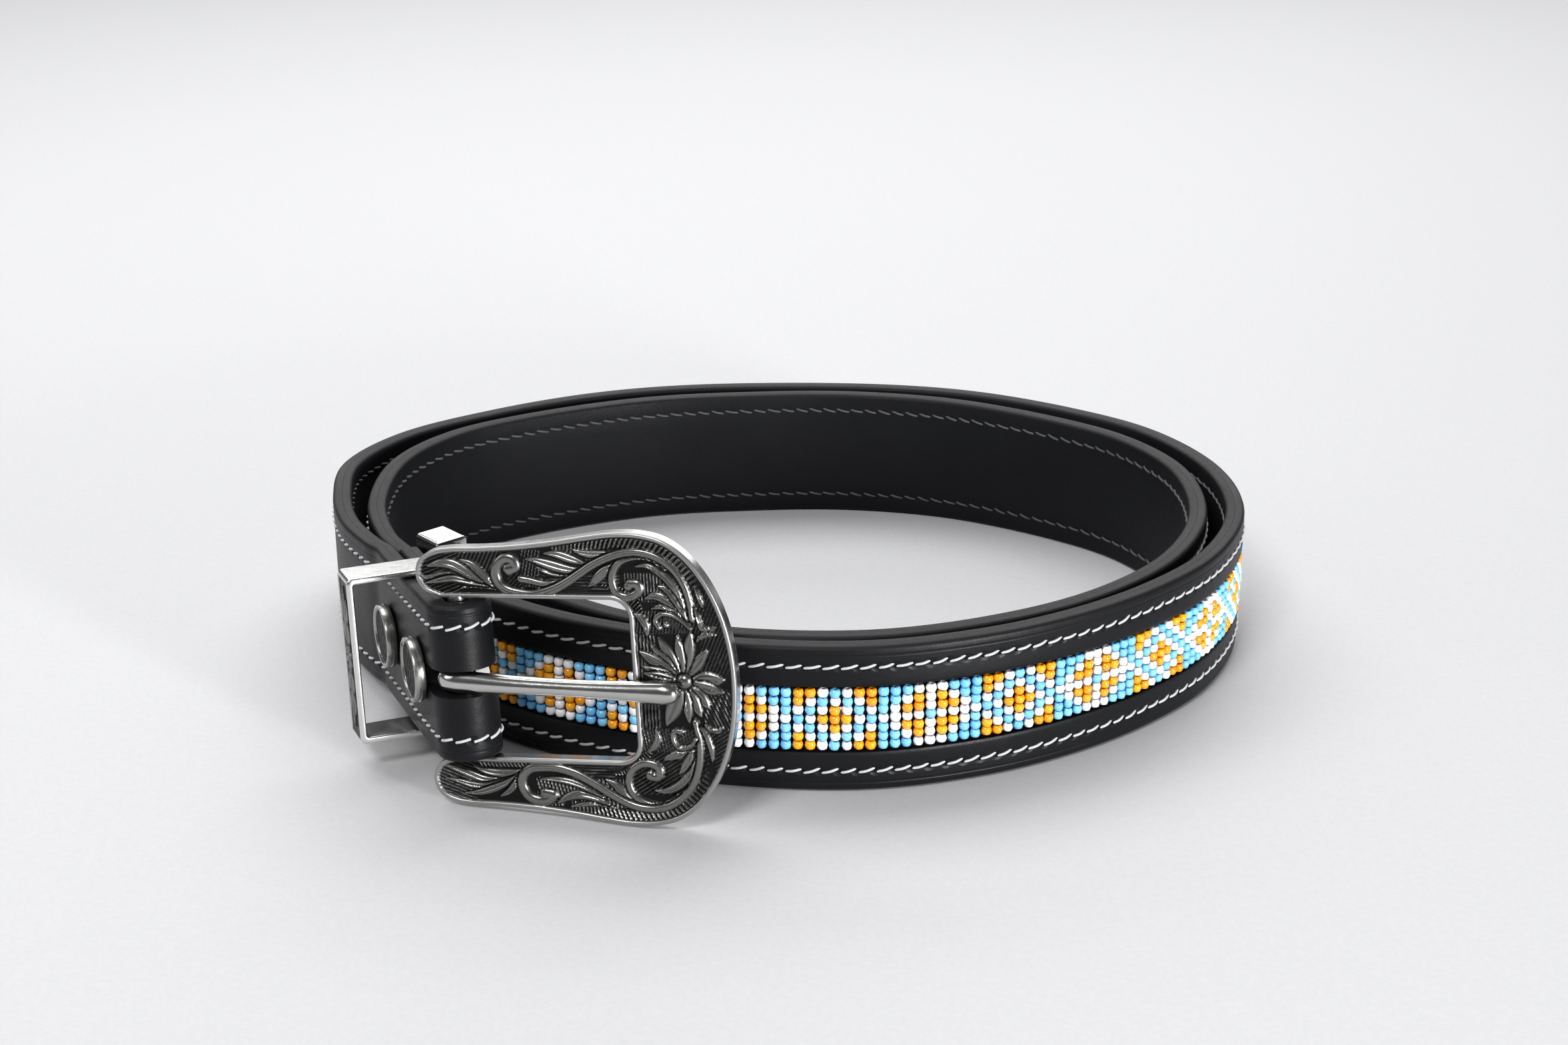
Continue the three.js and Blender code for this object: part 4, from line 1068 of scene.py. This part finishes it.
def face_grid():
    width = np.linalg.norm(outer_edge - inner_edge, axis=1)[:, None]
    edge = np.array(EDGE_STEPS)[None, :] / width
    middle = np.linspace(0, 1, MIDDLE_STEPS + 2)[1:-1]
    t = np.concatenate([edge, edge[:, -1:] + (1 - 2 * edge[:, -1:]) * middle, 1 - edge[:, ::-1]], axis=1)
    grid = inner_edge[:, None, :] + (outer_edge - inner_edge)[:, None, :] * t[..., None]
    fade = np.clip(1 - lengths_along(inner_edge) / END_BENDS_OVER, 0, 1) ** 2
    end = resampled(arm_end, t[0] * lengths_along(arm_end)[-1])
    grid = grid + fade[:, None, None] * (end - grid[0])[None, :, :]
    near = np.array(EDGE_STEPS) / EDGE_STEPS[-1]
    extra = [grid[0] + (grid[END_ROWS] - grid[0]) * share for share in near[1:-1]]
    upper = np.concatenate([grid[:1], np.array(extra), grid[END_ROWS:]])
    lower = upper[-2::-1] * [1, -1]
    return np.concatenate([upper, lower])


grid = face_grid()
ROWS, COLUMNS = grid.shape[:2]
print("frame grid:", ROWS, COLUMNS)


# %% Distance from every grid point to the edge
def boundary_of(rows, columns):
    top = [i * columns for i in range(rows)]
    far = [(rows - 1) * columns + j for j in range(1, columns)]
    side = [i * columns + columns - 1 for i in range(rows - 2, -1, -1)]
    near = list(range(columns - 2, 0, -1))
    return top + far + side + near


rim_loop = boundary_of(ROWS, COLUMNS)
flat = grid.reshape(-1, 2)
rim_points = flat[rim_loop][::2]
edge_distance, _ = nearest_on(flat, np.vstack([rim_points, rim_points[:1]]))
edge_distance[rim_loop] = 0


# %% Height of the relief
def buckle_relief(u, v):
    height = np.zeros(u.shape)
    for kind, half_width, *points in SCROLLS:
        stem = kind == "stem"
        stroke = ridge(u, v, half_width * SCROLL_SPREAD, points, stem, STEM_VEIN if stem else LEAF_VEIN)
        height = laid_over(height, stroke)
    for centre, radius in EYES:
        height = np.maximum(height, dome(u, v, centre, radius))
    heart = np.array(HEART)
    for half_width, *tip in PETALS:
        start = heart + (np.array(tip) - heart) * PETAL_START
        points = [start, (start + tip) / 2, tip]
        height = laid_over(height, ridge(u, v, half_width * PETAL_SPREAD, points, vein=0.4, height=0.95))
    round_heart = 1 - smooth(np.hypot(u - HEART[0], v - HEART[1]), HEART_RADIUS, HEART_RADIUS + HEART_CLEAR)
    return np.maximum(height * (1 - 0.95 * round_heart), dome(u, v, HEART, HEART_RADIUS, HEART_HEIGHT))


def hatching(u, v, distance, ornament):
    """Fine raised lines on the ground: patches of straight lines, and radial bars along the outer edge."""
    lines = np.zeros(u.shape)
    for u0, u1, v0, v1, direction, pitch in HATCHING:
        turn = math.radians(direction)
        wave = 0.5 + 0.5 * np.cos(2 * np.pi * (u * math.sin(turn) - v * math.cos(turn)) / pitch)
        patch = between(u, u0, u1, HATCH_SOFT) * between(v, v0, v1, HATCH_SOFT)
        lines = np.maximum(lines, HATCH_HEIGHT * wave**1.5 * patch)
    bars = 0.5 + 0.5 * np.cos(2 * np.pi * np.arctan2(v, u - TICK_CENTRE) * TICK_CIRCLE / TICK_PITCH)
    tick_end = RIM_WIDTH + TICK_LENGTH
    band = smooth(distance, RIM_WIDTH + 0.05, RIM_WIDTH + 0.2)
    band *= 1 - smooth(distance, tick_end, tick_end + 0.25)
    on_curve = between(u, *TICKS_ALONG) * (np.abs(v) > TICKS_BEYOND)
    place = band * on_curve * (np.hypot(u - TICK_CENTRE, v) > TICK_CENTRE)
    lines = np.where(place > 0.02, TICK_HEIGHT * bars**0.8 * place, lines)
    return lines * (1 - smooth(ornament, 0.02, 0.15))


ornament = buckle_relief(flat[:, 0], flat[:, 1])
ornament = np.maximum(ornament, hatching(flat[:, 0], flat[:, 1], edge_distance, ornament))
field = smooth(edge_distance, RIM_WIDTH - 0.1, RIM_WIDTH + 0.12)
crown = np.clip(np.abs(edge_distance - RIM_WIDTH / 2) / (RIM_WIDTH / 2), 0, 1)
rounding = RIM_CROWN * (1 - np.sqrt(1 - crown**2))
front = FRAME_THICKNESS / 2
face_height = front - rounding + field * ornament * RELIEF_HEIGHT

# %% The whole frame: face, side walls, back and bar
WALL_LEVELS = (front - RIM_CROWN - 0.05, -front + FRAME_ROUND, -front + 0.1, -front)
BACK_SHINE = 0.6
BAR_SINK = 0.4
BAR_SIDES = 32


def buckle_frame_piece():
    top = on_buckle(flat[:, 0], flat[:, 1], face_height)
    loop = np.array(rim_loop)
    walls = [on_buckle(flat[loop, 0], flat[loop, 1], level) for level in WALL_LEVELS]
    faces = [(i * COLUMNS + j, i * COLUMNS + j + 1, (i + 1) * COLUMNS + j + 1, (i + 1) * COLUMNS + j)
             for i in range(ROWS - 1) for j in range(COLUMNS - 1)]
    before = loop
    for k in range(len(walls)):
        after = len(top) + k * len(loop) + np.arange(len(loop))
        for a, b, c, d in zip(before, np.roll(before, -1), np.roll(after, -1), after):
            faces.append((int(a), int(d), int(c), int(b)))
        before = after
    faces.append(tuple(int(k) for k in reversed(before)))
    relief = np.concatenate([field * ornament, np.ones(len(walls) * len(loop))])
    wall_shine = np.repeat([1, 1, 1, BACK_SHINE], len(loop))
    rim = np.concatenate([(1 - field) * FACE_RIM_SHINE, wall_shine])
    finish = antique_nickel("antiqued nickel")
    return put_right(made_piece("cast_frame", np.vstack([top, *walls]), faces, finish, sharp=60,
                                attributes={"relief": relief, "rim": rim}))


def bar_piece():
    reach = BAR_UP * (ARM_INNER + BAR_SINK)
    x = unit(np.cross(BAR_UP, BUCKLE_OUT))
    ring = ring_round(x, np.cross(BAR_UP, x), BAR_SIDES) * BAR_RADIUS
    rings = np.stack([BAR - reach + ring, BAR + reach + ring])
    return put_right(tube_piece("frame_bar", rings, polished_nickel("bar nickel", 0.2)))


cast_frame = buckle_frame_piece()
frame_bar = bar_piece()
print("frame faces:", len(cast_frame.data.polygons))

# %% [markdown]
# ## Prong
# The prong is a bent nickel rod: a flat loop round the bar, then a shank that rests on the frame and
# swells towards its rounded tip. Rings of points follow its path.

# %% The prong
PRONG_MID = 3.3
PRONG_TIP = 3.6
PRONG_DROOP = 1.8
PRONG_ROOM = 0.6
PRONG_SEAT = FRAME_THICKNESS / 2 + PRONG_ROOM + PRONG_MID / 2
PRONG_LENGTH = HEART[0] - 0.4
PRONG_LOOP = (-35, -258, 16)
PRONG_SAMPLES = 5
PRONG_SIDES = 24

# %% The shank: share of its length, share of the rise to its seat, thickness and width as shares
PRONG_SHANK = [
    (0.0, 0.0, 0.92, 1.19), (0.08, 0.0, 0.97, 1.16), (0.18, 0.5, 1.0, 1.04), (0.3, 0.92, 1.0, 0.95),
    (0.45, 1.0, 0.97, 0.9), (0.62, 1.0, 0.98, 0.94), (0.78, 1.0, 1.02, 1.06), (0.9, 1.0, 1.09, 1.22),
    (0.94, 1.0, 1.1, 1.22), (0.96, 1.0, 1.03, 1.1), (0.976, 1.0, 0.9, 0.96), (0.989, 1.0, 0.68, 0.72),
    (0.997, 1.0, 0.38, 0.4), (1.0, 1.0, 0.1, 0.1),
]


def prong_piece():
    ring_radius = LOOP_INNER + PRONG_ROOT / 2
    rows = [(ring_radius * math.cos(a), ring_radius * math.sin(a), PRONG_ROOT, PRONG_ROOT_WIDTH)
            for a in np.radians(np.linspace(*PRONG_LOOP))]
    for along, risen, thick, wide in PRONG_SHANK:
        rows.append((along * PRONG_LENGTH, ring_radius + risen * (PRONG_SEAT - ring_radius),
                     thick * PRONG_MID, wide * PRONG_TIP))
    rows = rounded_through(rows, PRONG_SAMPLES)
    droop = math.radians(-PRONG_DROOP)
    turns = round_turns(PRONG_SIDES)
    rings = []
    for k, (x, z, thick, wide) in enumerate(rows):
        before, after = rows[max(0, k - 1)], rows[min(len(rows) - 1, k + 1)]
        ahead = unit(after[:2] - before[:2])
        fat = np.cos(turns) * thick / 2
        v = np.sin(turns) * wide / 2
        u, n = x - ahead[1] * fat, z + ahead[0] * fat
        rings.append(on_buckle(u * math.cos(droop) - v * math.sin(droop),
                               u * math.sin(droop) + v * math.cos(droop), n))
    return put_right(tube_piece("prong_rod", np.array(rings), polished_nickel("prong nickel"), sharp=60))


prong_rod = prong_piece()

# %% [markdown]
# ## Keeper
# The keeper is a flat loop of polished nickel. Its outer face is cast with a flower and leaves on a
# blackened ground between two polished rims.

# %% The keeper
KEEPER_AT = 18.5
KEEPER_WIDTH = 8.9
KEEPER_WALL = 1.3
KEEPER_REACH = 9.5
KEEPER_PLAY = 0.3
KEEPER_ROUND = 0.32
KEEPER_RECESS = 0.3
KEEPER_RIM = 0.5
KEEPER_RELIEF = 0.42
KEEPER_PETALS = 8
PETAL_LENGTH = 3.0
CORNER_OUTSIDE = 1.1
CORNER_INSIDE = 0.6
LOOP_CORNER_STEPS = 8
FACE_STEPS_ROUND = 130
FACE_STEPS_ACROSS = 44
EDGE_ARC_STEPS = 5
KEEPER_LEAVES = [
    (1.0, (0.6, 2.4), (1.6, 5.6), (0.4, 8.6)), (1.0, (-0.6, 2.4), (-1.7, 4.9), (-0.7, 7.6)),
    (0.85, (0.3, 6.5), (1.9, 9.4), (1.2, 12.2)), (0.85, (-0.2, 6.6), (-1.8, 9.2), (-1.0, 11.6)),
    (0.7, (0.0, 9.8), (0.9, 12.0), (0.2, 14.2)), (0.55, (-0.1, 1.6), (0.0, 7.5), (0.1, 13.6)),
]


def keeper_relief(z, y):
    height = np.zeros(z.shape)
    side = np.abs(y)
    for half_width, *points in KEEPER_LEAVES:
        height = laid_over(height, ridge(z, side, half_width, points, False, 0.3))
    for k in range(KEEPER_PETALS):
        turn = (k + 0.5) * 2 * math.pi / KEEPER_PETALS
        tip = np.array([math.cos(turn), math.sin(turn)]) * PETAL_LENGTH
        height = laid_over(height, ridge(z, y, 0.8, [tip * 0.15, tip * 0.6, tip], False, 0.3))
    return np.maximum(height, dome(z, y, (0, 0), 0.7, 1.1))


def rounded_box_path(x0, x1, half, radius):
    """A closed rounded rectangle, counter-clockwise, with more points on its x1 side."""
    path = []
    left, right, high = x0 + radius, x1 - radius, half - radius
    for begin, cx, cy in ((0, right, high), (90, left, high), (180, left, -high), (270, right, -high)):
        for k in range(LOOP_CORNER_STEPS + 1):
            turn = math.radians(begin + 90 * k / LOOP_CORNER_STEPS)
            path.append((cx + radius * math.cos(turn), cy + radius * math.sin(turn)))
    face = np.linspace(-high, high, FACE_STEPS_ROUND + 2)[1:-1]
    return np.array(path + [(x1, y) for y in face])


def keeper_piece():
    centre, along, up, out = station(KEEPER_AT + KEEPER_WIDTH / 2)
    back = -(2 * STRAP_THICKNESS + 3 * GAP)
    front = KEEPER_REACH + KEEPER_WALL
    high = HALF_WIDTH + KEEPER_PLAY
    outer = rounded_box_path(back - KEEPER_WALL, front, high + KEEPER_WALL, CORNER_OUTSIDE)
    inner = rounded_box_path(back, KEEPER_REACH, high, CORNER_INSIDE)
    half = KEEPER_WIDTH / 2
    flat = half - KEEPER_ROUND
    edge = [(flat + KEEPER_ROUND * math.sin(a), KEEPER_ROUND / KEEPER_WALL * (1 - math.cos(a)))
            for a in np.linspace(0, np.pi / 2, EDGE_ARC_STEPS)]
    section = [(z, 0.0) for z in np.linspace(-flat, flat, FACE_STEPS_ACROSS)] + edge[1:]
    section += [(z, 1 - share) for z, share in reversed(edge[:-1])]
    section += [(-z, 1 - share) for z, share in edge]
    section += [(-z, share) for z, share in reversed(edge[1:-1])]
    z, share = np.array(section).T[:, None, :]
    path = outer[:, None, :] + (inner - outer)[:, None, :] * share[..., None]
    y = path[..., 1]
    z = np.broadcast_to(z, y.shape)
    on_face = (outer[:, 0] > front - 0.02)[:, None] & (share < 0.01)
    to_edge = np.minimum(half - np.abs(z), high + KEEPER_WALL - np.abs(y))
    field = smooth(to_edge, KEEPER_RIM, KEEPER_RIM + 0.25) * on_face
    ornament = keeper_relief(z.ravel(), y.ravel()).reshape(z.shape)
    x = path[..., 0] + field * (ornament * KEEPER_RELIEF - KEEPER_RECESS)
    points = centre + x[..., None] * out + y[..., None] * up + z[..., None] * along
    worn = {"relief": np.where(on_face, field * ornament, 1.0).ravel(), "rim": (1 - field).ravel()}
    return put_right(tube_piece("keeper_loop", points, antique_nickel("keeper nickel"), sharp=50,
                                attributes=worn, closed_rows=True))


keeper_loop = keeper_piece()

# %% [markdown]
# ## Studs
# Each stud is turned: a shallow dish with a polished rim, on a post that a slotted screw closes from
# behind. The dish has fine curved lines, like a thumb print, which the material draws.

# %% Stud sizes
STUD_PLACES = {"stud_cap_1": 9.2, "stud_cap_2": 33.0}
STUD_FOOT = 0.3
STUD_SIDES = 48
DISH_RADIUS = 5.35
DISH_FROM = 1.9
SCREW_SEAT = -(2 * STRAP_THICKNESS + 2 * GAP)
SCREW_BACK = SCREW_SEAT - 1.1
SLOT_WIDTH = 1.0
SLOT_CUT = 0.55

# %% Profiles: radius, then height over the strap's outer face
CAP_PROFILE = [
    (0.0, -4.0), (2.3, -4.0), (2.4, STUD_FOOT), (5.6, STUD_FOOT), (6.1, STUD_FOOT + 0.1),
    (6.28, STUD_FOOT + 0.35), (6.3, 1.2), (6.14, 1.32), (6.14, 1.5), (6.3, 1.62), (6.3, 2.15),
    (6.22, 2.37), (6.0, 2.5), (5.7, 2.5), (5.5, 2.38), (5.38, 2.12), (5.3, 2.02), (4.6, 2.0), (2.5, 2.0),
    (0.0, 2.0),
]
SCREW_PROFILE = [
    (0.0, SCREW_BACK), (4.1, SCREW_BACK), (4.42, SCREW_BACK + 0.1), (4.6, SCREW_BACK + 0.35),
    (4.6, SCREW_SEAT - 0.05), (4.5, SCREW_SEAT), (1.2, SCREW_SEAT), (1.2, SCREW_SEAT / 2),
    (0.0, SCREW_SEAT / 2),
]


def stud_finish():
    """Dark disc with thumb-print lines; the rim is polished where the attribute says so."""
    finish = Finish("stud nickel", specular_ior_level=0.2)
    uv, x, y = finish.surface()
    rim = finish.attribute("rim")
    warp = finish.noise(0.42, 2, 0.5, uv)
    bend = x * 0.75 + y * 0.35 + warp * 5.0
    print_lines = (bend * 4.6).math("SINE")
    ground = finish.noise(800, 4, 0.6)
    tone = finish.mix((0.01, 0.01, 0.0105), (0.09, 0.089, 0.085), print_lines * 0.5 + ground * 0.5)
    finish.set("Metallic", 0.35 + rim * 0.55)
    rough = (0.55 + ground * 0.12) * (1 - rim) + rim * (0.18 + ground * 0.12)
    height = print_lines * (1 - rim) * 0.05 + ground * 0.02
    return finish.finished(finish.mix(tone, (0.34, 0.335, 0.32), rim), rough, height)


def turned(name, profile, place, material, dish_radius=0):
    """A turned piece; its rim attribute is 0 in the dish and 1 elsewhere."""
    centre, along, up, out = station(place)
    ring = ring_round(along, up, STUD_SIDES)
    circle = ring_round(np.array([1, 0]), np.array([0, 1]), STUD_SIDES)
    reaches = [max(radius, 0.01) for radius, _ in profile]
    rings = np.stack([centre + out * level + ring * reach for reach, (_, level) in zip(reaches, profile)])
    uv = np.vstack([circle * reach for reach in reaches])
    rim = [0.0 if radius < dish_radius and level > DISH_FROM else 1.0 for radius, level in profile]
    return put_right(tube_piece(name, rings, material, uv, 35, {"rim": np.repeat(rim, STUD_SIDES)}))


def cut_slot(screw, place):
    centre, along, up, out = station(place)
    half, reach = SLOT_WIDTH / 2, 7
    corners = np.array([(-half, -reach), (half, -reach), (half, reach), (-half, reach)])
    flat = centre + corners[:, :1] * along + corners[:, 1:] * up
    cut(screw, [np.stack([flat + out * level for level in (SCREW_BACK - 1, SCREW_BACK + SLOT_CUT)])])


stud_material = stud_finish()
studs = {}
for node, place in STUD_PLACES.items():
    number = node[-1]
    studs[node] = turned(f"stud_{number}", CAP_PROFILE, place, stud_material, DISH_RADIUS)
    screw = turned(f"screw_{number}", SCREW_PROFILE, place, stud_material)
    studs[f"stud_screw_{number}"] = screw
    cut_slot(screw, place)

# %% [markdown]
# ## Tip cap
# A plain polished pocket closes the strap's end: a rounded box, a little thicker and higher than the
# strap. Rings of points run from its end over the rounded edge to the mouth, then into the pocket.
# Extra points close to each rounding keep the flat faces flat when they are shaded.

# %% The tip cap
TIP_LENGTH = 8
TIP_WALL = 1.0
TIP_CHEEK = 1.4
TIP_ROUND = 0.7
TIP_CORNER = 0.9
POCKET_CORNER = 0.5
POCKET_END = 0.2
MOUTH_ROUND = 0.25
SUPPORT = 0.12
ROUND_STEPS = 6


def rounded_rectangle(half_x, half_y, radius):
    path = []
    for k, (sx, sy) in enumerate(((1, 1), (-1, 1), (-1, -1), (1, -1))):
        corner = np.array([sx * (half_x - radius), sy * (half_y - radius)])
        turns = math.pi / 2 * (k + np.linspace(0, 1, ROUND_STEPS + 1))
        arc = corner + radius * np.stack([np.cos(turns), np.sin(turns)], axis=1)
        way = SUPPORT * np.stack([-np.sin(turns), np.cos(turns)], axis=1)
        path += [arc[0] - way[0], *arc, arc[-1] + way[-1]]
    return np.array(path)


def tip_piece():
    centre, along, up, out = station(STRAP_LENGTH - 0.01)
    middle = centre - out * STRAP_THICKNESS / 2
    half_x = STRAP_THICKNESS / 2 + GAP + TIP_CHEEK
    half_y = HALF_WIDTH + GAP + TIP_WALL
    end = TIP_LENGTH - TIP_POCKET
    turns = np.linspace(0, math.pi / 2, ROUND_STEPS + 1)
    steps = [(TIP_ROUND * (1 - math.sin(a)), end - TIP_ROUND * (1 - math.cos(a))) for a in turns]
    steps += [(0, end - TIP_ROUND - SUPPORT), (0, MOUTH_ROUND + SUPPORT - TIP_POCKET),
              (0, MOUTH_ROUND - TIP_POCKET), (0.08, 0.06 - TIP_POCKET), (MOUTH_ROUND, -TIP_POCKET)]
    line = 0.03
    sections = [(line, half_y - 2 * half_x + 0.05, line * 0.9, end)]
    sections += [(half_x - inset, half_y - inset, TIP_CORNER, z) for inset, z in steps]
    pocket = (half_x - TIP_CHEEK - 0.15, half_y - TIP_WALL - 0.15, POCKET_CORNER)
    sections += [(*pocket, -TIP_POCKET), (*pocket, POCKET_END)]
    rings = []
    for x, y, radius, z in sections:
        path = rounded_rectangle(x, y, radius)
        rings.append(middle + out * path[:, :1] + up * path[:, 1:] + along * z)
    return put_right(tube_piece("tip_cap", np.array(rings), polished_nickel("tip nickel", 0.1), sharp=35))


tip_cap = tip_piece()

# %% [markdown]
# ## Riding on the frame
# Each dressed piece takes the place of its plain part and moves with that part's body.

# %% Places in the frame
RIDES = [
    (face_ply, "belt", "strap_face", "face_leather"),
    (lining_ply, "belt", "strap_lining", "lining_leather"),
    (cast_frame, "frame", "buckle_frame", "antique_nickel"),
    (prong_rod, "prong", "buckle_prong", "polished_nickel"),
    (keeper_loop, "belt", "keeper", "polished_nickel"),
    (tip_cap, "belt", "strap_tip", "polished_nickel"),
    *((piece, "belt", "bead_band", "beads") for piece in bead_pieces),
    *((piece, "belt", node, "antique_nickel") for node, piece in studs.items()),
    *((piece, "belt", None, "face_leather") for piece in thread_pieces),
    (frame_bar, "frame", None, "antique_nickel"),
]
for piece, body, node, slot in RIDES:
    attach(piece, body)
    if node:
        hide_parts(node)

# %% [markdown]
# ## Floor and light
# The floor is pale. Five panels light the belt: overhead for the top edges, a weak one on the left, a
# small bright one in front, a narrow one low on the right for the fold and the prong, and one behind.

# %% Floor
FLOOR_REACH = 4.0
FLOOR_AT = -0.0003


def floor_piece():
    finish = Finish("pale floor", specular_ior_level=0.3)
    speck = finish.noise(900, 4, 0.7)
    finish.set("Base Color", finish.mix((0.46, 0.46, 0.47), (0.55, 0.55, 0.56), speck))
    finish.set("Roughness", 0.6 + speck * 0.2)
    mesh = bpy.data.meshes.new("floor")
    corners = [(x * FLOOR_REACH, y * FLOOR_REACH, FLOOR_AT) for x, y in ((-1, -1), (1, -1), (1, 1), (-1, 1))]
    mesh.from_pydata(corners, [], [(0, 1, 2, 3)])
    mesh.materials.append(finish.material)
    return added("floor", mesh)


floor = floor_piece()

# %% Panels: name, place and target in metres, size, power
PANELS = [
    ("overhead", (-0.1, 0.45, 0.85), (0, 0, 0), (1.3, 0.6), 11),
    ("left", (-0.9, -0.2, 0.5), (0, 0, 0.02), (0.3, 0.6), 1.8),
    ("front", (-0.32, -0.75, 0.85), (0, -0.05, 0.02), (0.32, 0.22), 7.5),
    ("right", (0.6, -0.75, 0.14), (0, -0.05, 0.02), (0.12, 0.2), 11),
    ("back", (0.0, 1.1, 0.5), (0, 0, 0.03), (1.6, 0.45), 7),
]
SKY = (0.78, 0.8, 0.84, 1)
SKY_STRENGTH = 0.13

# %% Light
for name, at, target, size, power in PANELS:
    light = bpy.data.lights.new(name, "AREA")
    light.shape = "RECTANGLE"
    light.size, light.size_y = size
    light.energy = power
    lamp = added(name, light)
    lamp.location = at
    lamp.rotation_euler = (Vector(target) - Vector(at)).to_track_quat("-Z", "Y").to_euler()
world = bpy.data.worlds.new("studio")
world.use_nodes = True
sky = world.node_tree.nodes["Background"].inputs
sky[0].default_value = SKY
sky[1].default_value = SKY_STRENGTH
bpy.context.scene.world = world
bpy.context.scene.view_settings.view_transform = "Standard"
